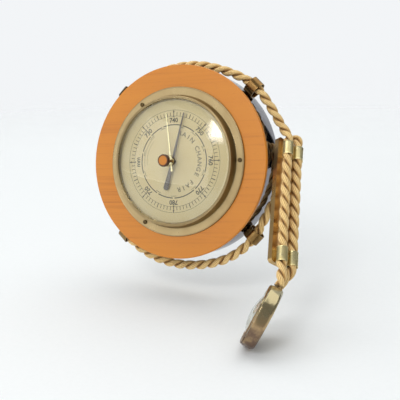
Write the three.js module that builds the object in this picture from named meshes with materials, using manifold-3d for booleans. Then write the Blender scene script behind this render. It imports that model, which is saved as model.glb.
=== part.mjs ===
// A rope-hung weather station: a round aneroid barometer in a polished metal drum with a wooden
// face, a rope laid round the drum, and a strap of two rope ends that carries a thermometer bar
// and a small hygrometer. Millimetres, +Z up, the dial looks towards -Y and leans back.
import * as THREE from 'three';
import { mergeVertices } from 'three/addons/utils/BufferGeometryUtils.js';
import Module from 'manifold-3d';

const wasm = await Module();
wasm.setup();

// Fits shared by every pair of neighbours.
const FIT = 0.3;
const SCREW_R = 1.2;
const SCREW_HEAD_R = 2.5;
const SCREW_HEAD_T = 1.3;
const SCREW_BITE = 2.4;

// How the barometer stands: leaning back, and rolled a little about its own axis.
const LEAN = 12.6;
const ROLL = 6.4;

// Drum, its back cover and the wooden front panel.
const DRUM_R = 82.5;
const BACK_COVER_MARGIN = 10.5;
const BACK_COVER_T = 1.6;
const BACK_COVER_LAP = 8;
const BACK_SCREW_HEAD_R = 2.2;
const BACK_SCREW_SINK = 0.1;
const BACK_SCREW_ANGLES = [90, 270];
const DRUM_DEPTH = 30.3;
const DRUM_WALL = 1.2;
const DRUM_CORNER = 3;
const LIP_PAST_SCREW = 0.7;
const PANEL_OVERHANG = 2.5;
const PANEL_T = 3.5;
const PANEL_SCREW_ANGLES = [90, 210, 330];

// Bezel, crystal, sight ring and dial: radii from the dial's opening, heights above the face.
const LIP_R = 54.3;
const LIP_H = 8.5;
const BEZEL_BROW_W = 4.9;
const BEZEL_FLANGE_W = 6.2;
const BEZEL_FLANGE_T = 1.3;
const BEZEL_RING_H = 9.6;
const BEZEL_SCREW_OFFSET = 2.2;
const BEZEL_SCREW_ANGLES = [0, 123.5, 240];
const BEZEL_SCREW_HEAD_R = 1.9;
const BEZEL_WALL = 1.1;
const BEZEL_TAPER = 0.2;
const CRYSTAL_LAP = 1.7;
const CRYSTAL_T = 1.3;
const CRYSTAL_DOME = 9.3;
const SIGHT_RING_INSET = 1.1;
const SIGHT_RING_T = 1.7;
const DIAL_INSET = 0.4;
const DIAL_T = 0.8;
const DIAL_HOLE_R = 2.2;

// Instrument case behind the dial: its rim lies on the wooden face, inside the bezel.
const CASE_RIM_PLAY = 0.5;
const CASE_RIM_W = 3.2;
const CASE_LAP = 1.4;
const CASE_WALL = 0.8;
const CASE_BACK_Z = 7;

// Hands, with their heights above the dial.
const HAND_LENGTH = 43;
const HAND_TAIL = 25.7;
const HAND_TAIL_W = 5;
const HAND_T = 0.5;
const HAND_H = 2.2;
const HAND_TURN = -15;
const ARBOR_R = 0.9;
const ARBOR_TOP_H = 4;
const SET_HAND_LENGTH = 42;
const SET_HAND_H = 4.9;
const SET_HAND_TURN = 6.4;
const STEM_R = 1;
const KNOB_R = 5.4;
const KNOB_H = 5.6;

// Aneroid movement.
const BASE_R = 34;
const BASE_T = 2;
const FOOT_H = 2.2;
const FOOT_CIRCLE_R = 28;
const CAPSULE_R = 17;
const CAPSULE_RIM_H = 3.6;
const CAPSULE_H = 6.6;
const POST_R = 2.2;
const YOKE_H = 5.05;
const YOKE_L = 10.5;
const YOKE_X = -19.5;
const ADJUST_X = -24;
const ADJUST_R = 1.5;
const ADJUST_HEAD_R = 3;
const SPRING_T = 1.1;
const SPRING_W = 14;
const SPRING_BEND_R = 2.9;
const SPRING_TIP_X = 7;
const LEVER_PIVOT_X = 4;
const LEVER_L = 24;
const LEVER_W = 3;
const LEVER_T = 1.2;
const PIVOT_R = 0.8;
const ROCKER_X = 22;
const ROCKER_H = 6;
const ROCKER_R = 0.9;
const ROCKER_SPAN = 20.4;
const ROCKER_SHORT_ARM = 6;
const ROCKER_LONG_ARM = 12.5;
const ROCKER_LONG_ARM_Y = 4.8;
const BRIDGE_W = 10;
const BRIDGE_L = 60;
const BRIDGE_T = 1.2;
const PILLAR_R = 2.4;
const PILLAR_Y = 26;
const BRIDGE_CLEARANCE = 1.2;
const BRIDGE_GAP = 3.2;
const PULLEY_R = 1.2;
const PULLEY_FLANGE_R = 1.9;
const CHAIN_T = 0.5;
const HAIRSPRING_TURNS = 4;
const HAIRSPRING_R = 8;
const HAIRSPRING_T = 0.4;

// Rope and the four clips that hold it to the drum.
const ROPE_R = 4.1;
const ROPE_SIDES = 8;
const CLIP_ANGLES = { upper_right: 45, upper_left: 135, lower_left: 225, lower_right: -45 };
const CLIP_W = 10;
const CLIP_WALL = 0.8;
const CLIP_REACH = 15.6;
const CLIP_PLAY = 1.1;
const CLIP_OVAL = 1.8;
const RING_Z = 13;

// Strap: the fold lies on the two ropes where they leave the ring.
const STRAP_ANGLE = 8.7;
const STRAP_STANDOFF = 17.54;
const STRAP_Z = 10.67;
const STRAP_TURN = [-44, 64.5, 17.5];
const ROPE_SPACING = 12;
const FOLD_GAP = 0.5;
const LOOP_R = 7.75;
const LOOP_SQUARE = 3;

// Thermometer bar on the strap.
const BAR_W = 24;
const BAR_L = 116;
const BAR_T = 4.4;
const BAR_WALL = 0.8;
const BAR_CORNER_R = 3;
const BAR_PAST_FOLD = 2.9;
const FERRULE_L = 12.8;
const FERRULE_WALL = 0.5;
const FERRULE_BEAD = 0.2;
const FERRULE_TOP = 3.05;
const FERRULE_PAST_BAR = 0.75;
const SCALE_T = 0.6;
const GLASS_R = 1.2;
const GLASS_BORE_R = 0.65;
const GLASS_START = 15;
const GLASS_END_GAP = 16.1;
const SPIRIT_R = 0.35;
const SPIRIT_L = 38;
const BULB_R = 1.3;
const CLIP_LEG_R = 0.5;
const CLIP_LEG_X = 3.2;

// Hygrometer, and the short tail of rope that it hangs on.
const TAIL = [-5, -20.2, -3.4];
const HYGRO_TURN = [-143.6, -50.9, -156.3];
const TAIL_SPACING = 8.9;
const TAIL_STANDOFF = 1.5;
const HYGRO_R = 25.5;
const HYGRO_WALL = 0.8;
const HYGRO_BACK_T = 0.9;
const HYGRO_BACK_Z = -5.2;
const HYGRO_FRONT_Z = 5;
const HYGRO_CORNER = 1.5;
const HYGRO_BEZEL_T = 1.3;
const HYGRO_BEZEL_W = 5.5;
const HYGRO_DOME = 5;
const HYGRO_CRYSTAL_T = 1;
const HYGRO_DIAL_INSET = 3;
const HYGRO_DIAL_Z = 2.6;
const HYGRO_FOOT_CIRCLE_R = 14;
const HYGRO_FOOT_R = 1;
const HYGRO_MOUTH_DEPTH = 6;
const HYGRO_HAND_L = 15.5;

// Facets.
const BIG_ROUND = 44;
const ROUND = 32;
const SMALL_ROUND = 12;

const { degToRad } = THREE.MathUtils;

// Radii about the barometer's own axis.
const panelR = DRUM_R + PANEL_OVERHANG;
const panelScrewR = DRUM_R - DRUM_WALL - 2 * FIT - SCREW_HEAD_R;
const drumLipR = panelScrewR - SCREW_R - FIT - LIP_PAST_SCREW;
const backCoverR = DRUM_R - BACK_COVER_MARGIN;
const backOpeningR = backCoverR - BACK_COVER_LAP;
const backScrewR = backCoverR - BACK_COVER_LAP / 2;
const bezelRingR = LIP_R + BEZEL_BROW_W;
const bezelR = bezelRingR + BEZEL_FLANGE_W;
const bezelScrewR = bezelRingR + BEZEL_SCREW_OFFSET;
const bezelBore = bezelRingR - BEZEL_WALL - BEZEL_TAPER;
const caseRimR = bezelBore - CASE_RIM_PLAY;
const caseR = caseRimR - CASE_RIM_W;
const panelHoleR = caseRimR - CASE_LAP;
const crystalR = LIP_R + CRYSTAL_LAP;
const sightRingR = LIP_R - SIGHT_RING_INSET;
const dialR = caseR - DIAL_INSET;

// Heights along the barometer's own axis.
const drumBack = BACK_COVER_T + FIT;
const drumFront = drumBack + DRUM_DEPTH;
const panelBack = drumFront + FIT;
const panelFront = panelBack + PANEL_T;
const crystalEdge = panelFront + LIP_H - FIT - CRYSTAL_T;
const sightRing = crystalEdge - FIT - SIGHT_RING_T;
const dialFront = sightRing - FIT;
const dialBack = dialFront - DIAL_T;
const handZ = dialFront + HAND_H;
const setHandZ = dialFront + SET_HAND_H;
const domeTop = panelFront + LIP_H - FIT + CRYSTAL_DOME;
const baseBack = CASE_BACK_Z + CASE_WALL + FIT + FOOT_H;
const baseTop = baseBack + BASE_T;
const deck = baseTop + FIT;
const leafBottom = deck + YOKE_H + FIT;
const upperLeafBottom = leafBottom + 2 * SPRING_BEND_R;
const upperLeafTop = upperLeafBottom + SPRING_T;
const pivotZ = upperLeafTop + 1.55;
const leverTop = pivotZ + LEVER_T / 2;
const lowerBridge = leverTop + BRIDGE_CLEARANCE + 0.8;
const upperBridge = lowerBridge + BRIDGE_T + BRIDGE_GAP;
const pulleyZ = lowerBridge + BRIDGE_T + BRIDGE_GAP / 2;
const rockerZ = deck + ROCKER_H;

// Finishes.
function finish(color, roughness, metalness, opacity = 1) {
  return new THREE.MeshStandardMaterial({ color, roughness, metalness, opacity, transparent: opacity < 1 });
}

const FINISHES = {
  chrome: finish('#a9a6a2', 0.18, 1),
  wood: finish('#cd853f', 0.45, 0),
  brass: finish('#b9a46e', 0.3, 1),
  darkBrass: finish('#8c7447', 0.35, 1),
  steel: finish('#8f9194', 0.35, 1),
  bluedSteel: finish('#4b4b50', 0.35, 0.8),
  dial: finish('#d8cfa2', 0.5, 0.2),
  glass: finish('#f2f5f4', 0.05, 0, 0.3),
  rope: finish('#cda869', 0.9, 0),
  board: finish('#5b4632', 0.85, 0),
  spirit: finish('#a52a23', 0.2, 0),
};

// A closed body: shared corners merged, slivers with two equal corners dropped, faces turned out.
function closed(geometry) {
  let body = geometry.index ? geometry.toNonIndexed() : geometry.clone();
  for (const name of Object.keys(body.attributes)) {
    if (name !== 'position') body.deleteAttribute(name);
  }
  body.clearGroups();
  body = mergeVertices(body, 1e-4);
  const corners = body.index.array;
  const kept = [];
  for (let i = 0; i < corners.length; i += 3) {
    const [a, b, c] = [corners[i], corners[i + 1], corners[i + 2]];
    if (a !== b && b !== c && c !== a) kept.push(a, b, c);
  }
  const at = (i) => new THREE.Vector3().fromBufferAttribute(body.attributes.position, i);
  let volume = 0;
  for (let i = 0; i < kept.length; i += 3) {
    volume += at(kept[i]).dot(at(kept[i + 1]).cross(at(kept[i + 2])));
  }
  body.setIndex(volume < 0 ? kept.reverse() : kept);
  return body;
}

function toSolid(geometry) {
  const body = closed(geometry);
  return new wasm.Manifold(new wasm.Mesh({
    numProp: 3,
    vertProperties: new Float32Array(body.attributes.position.array),
    triVerts: new Uint32Array(body.index.array),
  }));
}

function fromSolid(solid) {
  const mesh = solid.getMesh();
  const body = new THREE.BufferGeometry();
  body.setAttribute('position', new THREE.BufferAttribute(new Float32Array(mesh.vertProperties), 3));
  body.setIndex(Array.from(mesh.triVerts));
  return body;
}

function cut(geometry, tools) {
  const start = toSolid(geometry);
  return fromSolid(tools.reduce((solid, tool) => solid.subtract(toSolid(tool)), start));
}

function fuse(first, ...others) {
  const start = toSolid(first);
  return fromSolid(others.reduce((solid, other) => solid.add(toSolid(other)), start));
}

// A profile of [radius, height] pairs turned about +Z.
function turned(profile, segments) {
  const points = profile.map(([r, z]) => new THREE.Vector2(r, z));
  return new THREE.LatheGeometry(points, segments).rotateX(Math.PI / 2);
}

function ringProfile(profile, segments) {
  return turned([...profile, profile[0]], segments);
}

function disc(radius, low, high, segments) {
  return turned([[0, low], [radius, low], [radius, high], [0, high]], segments);
}

function ring(inner, outer, low, high, segments) {
  return ringProfile([[inner, low], [outer, low], [outer, high], [inner, high]], segments);
}

// Points of an arc in a profile, from one angle to another.
function arc(r, z, radius, from, to, steps) {
  const points = [];
  for (let i = 0; i <= steps; i += 1) {
    const angle = degToRad(from + (to - from) * i / steps);
    points.push([r + radius * Math.cos(angle), z + radius * Math.sin(angle)]);
  }
  return points;
}

// A spherical cap profile from the rim inwards to a hole round the axis.
function capProfile(rim, rimZ, rise, hole, steps) {
  const radius = (rim * rim + rise * rise) / (2 * rise);
  const centre = rimZ + rise - radius;
  const points = [];
  for (let i = 0; i <= steps; i += 1) {
    const r = rim + (hole - rim) * i / steps;
    points.push([r, centre + Math.sqrt(radius * radius - r * r)]);
  }
  return points;
}

function plate(shape, low, high, curveSegments = 6) {
  const depth = high - low;
  return new THREE.ExtrudeGeometry(shape, { depth, bevelEnabled: false, curveSegments }).translate(0, 0, low);
}

function block(x0, x1, y0, y1, z0, z1) {
  const body = new THREE.BoxGeometry(x1 - x0, y1 - y0, z1 - z0);
  return body.translate((x0 + x1) / 2, (y0 + y1) / 2, (z0 + z1) / 2);
}

// A round bar between two points.
function bar(from, to, radius, sides = SMALL_ROUND) {
  const axis = new THREE.Vector3().subVectors(to, from);
  const body = new THREE.CylinderGeometry(radius, radius, axis.length(), sides);
  body.applyQuaternion(new THREE.Quaternion().setFromUnitVectors(
    new THREE.Vector3(0, 1, 0),
    axis.clone().normalize(),
  ));
  return body.translate((from.x + to.x) / 2, (from.y + to.y) / 2, (from.z + to.z) / 2);
}

function vec(x, y, z) {
  return new THREE.Vector3(x, y, z);
}

function roundSection(radius, sides) {
  const shape = new THREE.Shape();
  for (let i = 0; i < sides; i += 1) {
    const angle = 2 * Math.PI * i / sides;
    shape[i ? 'lineTo' : 'moveTo'](radius * Math.cos(angle), radius * Math.sin(angle));
  }
  return shape;
}

function roundedBox(width, height, corner) {
  const [x, y] = [width / 2, height / 2];
  const shape = new THREE.Shape();
  shape.moveTo(-x + corner, -y);
  shape.lineTo(x - corner, -y);
  shape.absarc(x - corner, -y + corner, corner, -Math.PI / 2, 0, false);
  shape.lineTo(x, y - corner);
  shape.absarc(x - corner, y - corner, corner, 0, Math.PI / 2, false);
  shape.lineTo(-x + corner, y);
  shape.absarc(-x + corner, y - corner, corner, Math.PI / 2, Math.PI, false);
  shape.lineTo(-x, -y + corner);
  shape.absarc(-x + corner, -y + corner, corner, Math.PI, 1.5 * Math.PI, false);
  return shape;
}

function onCircle(radius, degrees, z = 0) {
  return vec(radius * Math.cos(degToRad(degrees)), radius * Math.sin(degToRad(degrees)), z);
}

// A screw along -Z with its head resting a fit above z = 0.
function screw(bite, headR = SCREW_HEAD_R, headT = SCREW_HEAD_T) {
  return turned([
    [0, -bite], [SCREW_R, -bite], [SCREW_R, FIT], [headR, FIT],
    [headR, FIT + headT * 0.6], [headR * 0.7, FIT + headT], [0, FIT + headT],
  ], 12);
}

function hole(depth, radius = SCREW_R + FIT, above = 1) {
  return disc(radius, -depth, above, 12);
}

function placed(geometry, point, turn = null) {
  const body = geometry.clone();
  if (turn) body.applyMatrix4(new THREE.Matrix4().makeRotationFromEuler(turn));
  return body.translate(point.x, point.y, point.z);
}

const flipped = new THREE.Euler(Math.PI, 0, 0);

// The object's groups: the barometer leans, the strap hangs from it, the hygrometer from the strap.
const object = new THREE.Group();
const barometer = new THREE.Group();
barometer.rotation.set(degToRad(90 - LEAN), 0, degToRad(ROLL), 'XYZ');
object.add(barometer);

const strap = new THREE.Group();
strap.position.copy(onCircle(DRUM_R + STRAP_STANDOFF, STRAP_ANGLE, STRAP_Z));
strap.rotation.set(...STRAP_TURN.map(degToRad), 'XYZ');
barometer.add(strap);

const ferruleR = ROPE_R + FIT + FERRULE_WALL;
const barBack = -(ferruleR + FERRULE_BEAD + FIT);
const barFront = barBack - BAR_T;
const barBottom = BAR_PAST_FOLD - BAR_L;
const ropeBottom = barBottom - FERRULE_PAST_BAR;
const ferrulePitch = -ropeBottom - FERRULE_L - FERRULE_TOP;
const glassL = -barBottom - GLASS_START - GLASS_END_GAP;

const hygrometer = new THREE.Group();
hygrometer.rotation.set(...HYGRO_TURN.map(degToRad), 'XYZ');
const tailEnd = vec(...TAIL).add(vec(0, ropeBottom, 0));
const hygroUp = vec(0, 1, 0).applyEuler(hygrometer.rotation);
const hygroAcross = vec(1, 0, 0).applyEuler(hygrometer.rotation);
hygrometer.position.copy(tailEnd).addScaledVector(hygroUp, -(HYGRO_R + TAIL_STANDOFF));
strap.add(hygrometer);

function add(group, name, geometry, material) {
  const mesh = new THREE.Mesh(closed(geometry), material);
  mesh.name = name;
  group.add(mesh);
  return mesh;
}

// Copies of one fastener, numbered in the order of their places.
function addEach(group, name, bodies, material) {
  bodies.forEach((body, i) => add(group, `${name}_${i + 1}`, body, material));
}

function buildDrum() {
  const wall = DRUM_WALL;
  const shell = ringProfile([
    [backOpeningR, drumBack],
    ...arc(DRUM_R - DRUM_CORNER, drumBack + DRUM_CORNER, DRUM_CORNER, -90, 0, 3),
    [DRUM_R, drumFront],
    [drumLipR, drumFront],
    [drumLipR, drumFront - wall],
    [DRUM_R - wall, drumFront - wall],
    ...arc(DRUM_R - DRUM_CORNER, drumBack + DRUM_CORNER, DRUM_CORNER - wall, 0, -90, 2),
    [backOpeningR, drumBack + wall],
  ], BIG_ROUND);
  const holes = [];
  for (const angle of PANEL_SCREW_ANGLES) {
    holes.push(placed(hole(DRUM_WALL + 2), onCircle(panelScrewR, angle, drumFront)));
  }
  for (const angle of BACK_SCREW_ANGLES) {
    holes.push(placed(hole(DRUM_WALL + 2, undefined, 2), onCircle(backScrewR, angle, drumBack + wall)));
  }
  for (const angle of Object.values(CLIP_ANGLES)) {
    const inner = onCircle(DRUM_R - 2 * wall - 1, angle, RING_Z);
    holes.push(bar(inner, onCircle(DRUM_R + 2, angle, RING_Z), SCREW_R + FIT, 12));
  }
  add(barometer, 'drum_shell', cut(shell, holes), FINISHES.chrome);
}

// A countersunk screw along -Z, sunk a little below z = 0. With a play it is the cut for one.
function countersunk(bite, play = 0) {
  const head = BACK_SCREW_HEAD_R + play * Math.SQRT2;
  const shank = SCREW_R + play;
  const neck = BACK_SCREW_SINK + head - shank;
  const mouth = play ? [[head, -BACK_SCREW_SINK], [head, 1]] : [[head, -BACK_SCREW_SINK]];
  return turned([[0, -bite], [shank, -bite], [shank, -neck], ...mouth, [0, mouth.at(-1)[1]]], 16);
}

function buildBackCover() {
  const holes = BACK_SCREW_ANGLES.map((angle) => placed(
    countersunk(BACK_COVER_T + 1, FIT),
    onCircle(backScrewR, angle),
    flipped,
  ));
  holes.push(placed(disc(ADJUST_HEAD_R + 1, -1, BACK_COVER_T + 1, SMALL_ROUND), vec(ADJUST_X, 0, 0)));
  const cover = turned([
    [0, 0], [backCoverR - 0.5, 0], [backCoverR, 0.5],
    [backCoverR, BACK_COVER_T], [0, BACK_COVER_T],
  ], ROUND);
  add(barometer, 'back_cover', cut(cover, holes), FINISHES.board);
  const screws = BACK_SCREW_ANGLES.map((angle) => placed(
    countersunk(BACK_COVER_T + FIT + DRUM_WALL + SCREW_BITE),
    onCircle(backScrewR, angle),
    flipped,
  ));
  addEach(barometer, 'back_cover_screw', screws, FINISHES.steel);
}

function buildPanel() {
  const edge = 0.6;
  const panel = ringProfile([
    [panelHoleR, panelBack], [panelR - edge, panelBack], [panelR, panelBack + edge],
    [panelR, panelFront - edge], [panelR - edge, panelFront], [panelHoleR, panelFront],
  ], BIG_ROUND);
  const bite = Math.min(SCREW_BITE, PANEL_T - 1);
  const holes = BEZEL_SCREW_ANGLES.map((angle) => placed(
    hole(bite + FIT),
    onCircle(bezelScrewR, angle, panelFront),
  ));
  for (const angle of PANEL_SCREW_ANGLES) {
    holes.push(placed(hole(1, undefined, bite + FIT), onCircle(panelScrewR, angle, panelBack)));
  }
  add(barometer, 'front_panel', cut(panel, holes), FINISHES.wood);
  const screws = PANEL_SCREW_ANGLES.map((angle) => placed(
    screw(DRUM_WALL + FIT + bite),
    onCircle(panelScrewR, angle, drumFront - DRUM_WALL),
    flipped,
  ));
  addEach(barometer, 'panel_screw', screws, FINISHES.steel);
  const bezelTop = panelFront + FIT + BEZEL_FLANGE_T;
  const bezelScrews = BEZEL_SCREW_ANGLES.map((angle) => placed(
    screw(bezelTop - panelFront + bite, BEZEL_SCREW_HEAD_R),
    onCircle(bezelScrewR, angle, bezelTop),
  ));
  addEach(barometer, 'bezel_screw', bezelScrews, FINISHES.darkBrass);
}

// A spun brass ring: a flat flange, a raised wall with a rounded brow, a groove and a bead
// round the glass, and a lip that holds the crystal down.
function buildBezel() {
  const foot = panelFront + FIT;
  const flange = foot + BEZEL_FLANGE_T;
  const brow = panelFront + BEZEL_RING_H;
  const lip = panelFront + LIP_H;
  const profile = [
    [bezelR, foot], [bezelR, flange - 0.5], [bezelR - 0.5, flange],
    [bezelRingR, flange],
    [bezelRingR - 0.4, brow - 1.9],
    ...arc(bezelRingR - 1.9, brow - 1.5, 1.5, 0, 90, 3),
    [LIP_R + 2, brow - 0.1], [LIP_R + 1.7, brow - 0.6], [LIP_R + 1.2, brow - 0.6],
    [LIP_R + 0.7, brow - 0.1], [LIP_R + 0.1, brow - 0.5], [LIP_R, lip],
    [bezelRingR - 2.4, lip], [bezelBore - 0.2, lip - 0.8], [bezelBore, foot],
  ];
  const holes = BEZEL_SCREW_ANGLES.map((angle) => placed(
    hole(BEZEL_FLANGE_T + 1.7),
    onCircle(bezelScrewR, angle, flange),
  ));
  add(barometer, 'bezel', cut(ringProfile(profile, BIG_ROUND), holes), FINISHES.brass);
}

function buildCrystalAndDial() {
  const rim = LIP_R - 0.5;
  const top = crystalEdge + CRYSTAL_T;
  const bore = STEM_R + 2 * FIT + 0.3;
  const crystal = ringProfile([
    ...capProfile(rim, top, CRYSTAL_DOME, bore, 5).reverse(),
    [crystalR, top], [crystalR, crystalEdge],
    ...capProfile(rim - 0.4, crystalEdge, CRYSTAL_DOME, bore, 5),
  ], ROUND);
  add(barometer, 'crystal', crystal, FINISHES.glass);
  const ringTop = sightRing + SIGHT_RING_T;
  add(barometer, 'sight_ring', ringProfile([
    [sightRingR, sightRing], [crystalR, sightRing], [crystalR, ringTop],
    [sightRingR + 1.6, ringTop], [sightRingR, sightRing + 0.3],
  ], BIG_ROUND), FINISHES.brass);
  add(barometer, 'dial', ring(DIAL_HOLE_R, dialR, dialBack, dialFront, BIG_ROUND), FINISHES.dial);
  const stemBore = STEM_R + FIT;
  add(barometer, 'crystal_bush', ringProfile([
    [stemBore, domeTop - CRYSTAL_T - 0.5], [bore - FIT, domeTop - CRYSTAL_T - 0.5],
    [bore - FIT, domeTop + FIT], [stemBore + 1.9, domeTop + FIT],
    [stemBore + 1.5, domeTop + FIT + 0.6], [stemBore, domeTop + FIT + 0.6],
  ], SMALL_ROUND), FINISHES.brass);
}

function buildInstrumentCase() {
  const top = dialBack - FIT;
  const inner = caseR - CASE_WALL;
  const rim = panelFront + FIT;
  const pan = turned([
    [0, CASE_BACK_Z], [caseR - 1, CASE_BACK_Z], [caseR, CASE_BACK_Z + 1],
    [caseR, rim], [caseRimR, rim], [caseRimR, rim + CASE_WALL], [caseR, rim + CASE_WALL],
    [caseR, top], [inner, top], [inner, CASE_BACK_Z + CASE_WALL], [0, CASE_BACK_Z + CASE_WALL],
  ], ROUND);
  const access = placed(
    disc(ADJUST_HEAD_R + 2 * FIT, CASE_BACK_Z - 1, CASE_BACK_Z + 2, SMALL_ROUND),
    vec(ADJUST_X, 0, 0),
  );
  add(barometer, 'instrument_case', cut(pan, [access]), FINISHES.steel);
}

// The capsule's two diaphragms are pressed in rings, and its post carries the spring's pull.
function buildCapsule() {
  const waves = 2;
  const steps = 8;
  const low = deck + 1.2;
  const high = deck + CAPSULE_H;
  const rim = deck + CAPSULE_RIM_H;
  const inner = 4.5;
  const outer = CAPSULE_R - 1.5;
  const wave = (z, side) => Array.from({ length: steps + 1 }, (_, i) => {
    const r = inner + (outer - inner) * i / steps;
    return [r, z + side * 0.45 * Math.sin(2 * Math.PI * waves * i / steps)];
  });
  const slotLow = upperLeafTop;
  const post = upperLeafTop + 2.9;
  const body = turned([
    [0, deck], [inner - 0.5, deck], [inner - 0.5, low], ...wave(low, -1),
    [CAPSULE_R, rim - 0.4], [CAPSULE_R, rim + 0.4],
    ...wave(high, 1).reverse(),
    [POST_R, high], [POST_R, post], [0, post],
  ], 20);
  const keySlot = block(-1.1, 1.1, -POST_R - 1, POST_R + 1, slotLow, slotLow + 1.9);
  add(barometer, 'aneroid_capsule', cut(body, [keySlot]), FINISHES.brass);
  const keyLow = upperLeafTop + FIT;
  add(barometer, 'knife_edge', block(-0.8, 0.8, -4.5, 4.5, keyLow, keyLow + 1.3), FINISHES.steel);
}

function buildMainSpring() {
  const mid = leafBottom + SPRING_BEND_R + SPRING_T / 2;
  const bendX = YOKE_X - YOKE_L + 3;
  const outer = SPRING_BEND_R + SPRING_T / 2;
  const inner = SPRING_BEND_R - SPRING_T / 2;
  const side = new THREE.Shape();
  side.moveTo(YOKE_X + 1, mid - outer);
  side.lineTo(YOKE_X + 1, mid - inner);
  side.lineTo(bendX, mid - inner);
  side.absarc(bendX, mid, inner, -Math.PI / 2, -1.5 * Math.PI, true);
  side.lineTo(SPRING_TIP_X, mid + inner);
  side.lineTo(SPRING_TIP_X, mid + outer);
  side.lineTo(bendX, mid + outer);
  side.absarc(bendX, mid, outer, Math.PI / 2, 1.5 * Math.PI, false);
  const strip = plate(side, -SPRING_W / 2, SPRING_W / 2, 5).rotateX(Math.PI / 2);
  const earLow = LEVER_W / 2 + 0.8;
  const ears = [-1, 1].map((s) => block(
    LEVER_PIVOT_X - 1.6, LEVER_PIVOT_X + 1.6,
    Math.min(s * earLow, s * (earLow + 1.2)), Math.max(s * earLow, s * (earLow + 1.2)),
    upperLeafTop - 0.4, pivotZ + 1.5,
  ));
  const postHole = disc(POST_R + FIT, upperLeafBottom - 1, upperLeafTop + 1, SMALL_ROUND);
  const pinHole = bar(
    vec(LEVER_PIVOT_X, -earLow - 2, pivotZ),
    vec(LEVER_PIVOT_X, earLow + 2, pivotZ),
    PIVOT_R + FIT,
    12,
  );
  add(barometer, 'main_spring', cut(fuse(strip, ...ears), [postHole, pinHole]), FINISHES.bluedSteel);
}

function buildAdjuster() {
  const yoke = block(YOKE_X - YOKE_L, YOKE_X, -SPRING_W / 2, SPRING_W / 2, deck, deck + YOKE_H);
  const tip = deck + YOKE_H - 1.6;
  const bore = placed(disc(ADJUST_R + FIT, deck - 1, tip + FIT, 12), vec(ADJUST_X, 0, 0));
  add(barometer, 'spring_yoke', cut(yoke, [bore]), FINISHES.brass);
  const head = CASE_BACK_Z - 2;
  const neck = CASE_BACK_Z + CASE_WALL + 1;
  const body = turned([
    [0, head], [ADJUST_HEAD_R, head], [ADJUST_HEAD_R, neck],
    [ADJUST_R, neck], [ADJUST_R, tip], [0, tip],
  ], SMALL_ROUND);
  const slot = block(-ADJUST_HEAD_R - 1, ADJUST_HEAD_R + 1, -0.4, 0.4, head - 1, head + 1);
  add(barometer, 'adjusting_screw', placed(cut(body, [slot]), vec(ADJUST_X, 0, 0)), FINISHES.brass);
}

function buildMovementBase() {
  const feet = [90, 210, 330].map((angle) => placed(
    disc(3, baseBack - FOOT_H, baseBack + 0.5, 12),
    onCircle(FOOT_CIRCLE_R, angle),
  ));
  const bore = placed(disc(ADJUST_R + FIT, baseBack - 1, baseTop + 1, 12), vec(ADJUST_X, 0, 0));
  const half = ROCKER_SPAN / 2;
  const ears = [-1, 1].map((side) => block(
    ROCKER_X - 2.5, ROCKER_X + 2.5,
    side > 0 ? half - 1.2 : -half - 0.2, side > 0 ? half + 0.2 : 1.2 - half,
    baseTop - 0.5, rockerZ + 2.4,
  ));
  const bearing = bar(
    vec(ROCKER_X, -half - 1, rockerZ),
    vec(ROCKER_X, half + 1, rockerZ),
    ROCKER_R + FIT,
    12,
  );
  const base = fuse(disc(BASE_R, baseBack, baseTop, 36), ...feet, ...ears);
  add(barometer, 'movement_base', cut(base, [bore, bearing]), FINISHES.brass);
}

function buildBridges() {
  const arborBore = ARBOR_R + FIT;
  const outline = roundedBox(BRIDGE_W, BRIDGE_L, 3);
  const pillars = (low, high) => [-PILLAR_Y, PILLAR_Y].map((y) => placed(
    disc(PILLAR_R, low, high, 12),
    vec(0, y, 0),
  ));
  const deckPlate = (z) => cut(plate(outline, z, z + BRIDGE_T, 3), [disc(arborBore, z - 1, z + 2, 12)]);
  const lower = fuse(deckPlate(lowerBridge), ...pillars(deck, lowerBridge + 0.4));
  add(barometer, 'lower_bridge', lower, FINISHES.brass);
  const stud = placed(
    disc(0.8, upperBridge + 0.4, upperBridge + BRIDGE_T + 1.6, 8),
    vec(0, HAIRSPRING_R + HAIRSPRING_T / 2 + FIT + 0.8, 0),
  );
  const spacers = pillars(lowerBridge + BRIDGE_T + FIT, upperBridge + 0.4);
  add(barometer, 'upper_bridge', fuse(deckPlate(upperBridge), ...spacers, stud), FINISHES.brass);
}

function buildHairspring() {
  const start = ARBOR_R + 0.9 + FIT + HAIRSPRING_T / 2;
  const z = upperBridge + BRIDGE_T + 0.8;
  class Spiral extends THREE.Curve {
    getPoint(t) {
      const angle = 2 * Math.PI * HAIRSPRING_TURNS * t + Math.PI / 2;
      const r = start + (HAIRSPRING_R - start) * t;
      return vec(r * Math.cos(angle), r * Math.sin(angle), z);
    }
  }
  const section = roundSection(HAIRSPRING_T / 2, 4);
  const steps = HAIRSPRING_TURNS * 12;
  const coil = new THREE.ExtrudeGeometry(section, { steps, extrudePath: new Spiral(), bevelEnabled: false });
  add(barometer, 'hairspring', coil, FINISHES.bluedSteel);
}

function buildLever() {
  const x0 = LEVER_PIVOT_X - 0.9;
  const x1 = LEVER_PIVOT_X + LEVER_L;
  const arm = block(x0, x1, -LEVER_W / 2, LEVER_W / 2, pivotZ - LEVER_T / 2, leverTop);
  const half = LEVER_W / 2 + 2.4;
  const pin = bar(vec(LEVER_PIVOT_X, -half, pivotZ), vec(LEVER_PIVOT_X, half, pivotZ), PIVOT_R, 12);
  const linkY = LEVER_W / 2 + FIT + 0.4;
  const linkX = ROCKER_X + ROCKER_SHORT_ARM - 0.8;
  const link = bar(vec(linkX, linkY, rockerZ + 0.6), vec(linkX, linkY, leverTop), 0.4, 8);
  const eye = block(linkX - 0.6, linkX + 0.6, 0, linkY + 0.4, pivotZ - LEVER_T / 2, leverTop);
  add(barometer, 'main_lever', fuse(arm, pin, eye, link), FINISHES.steel);
}

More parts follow.
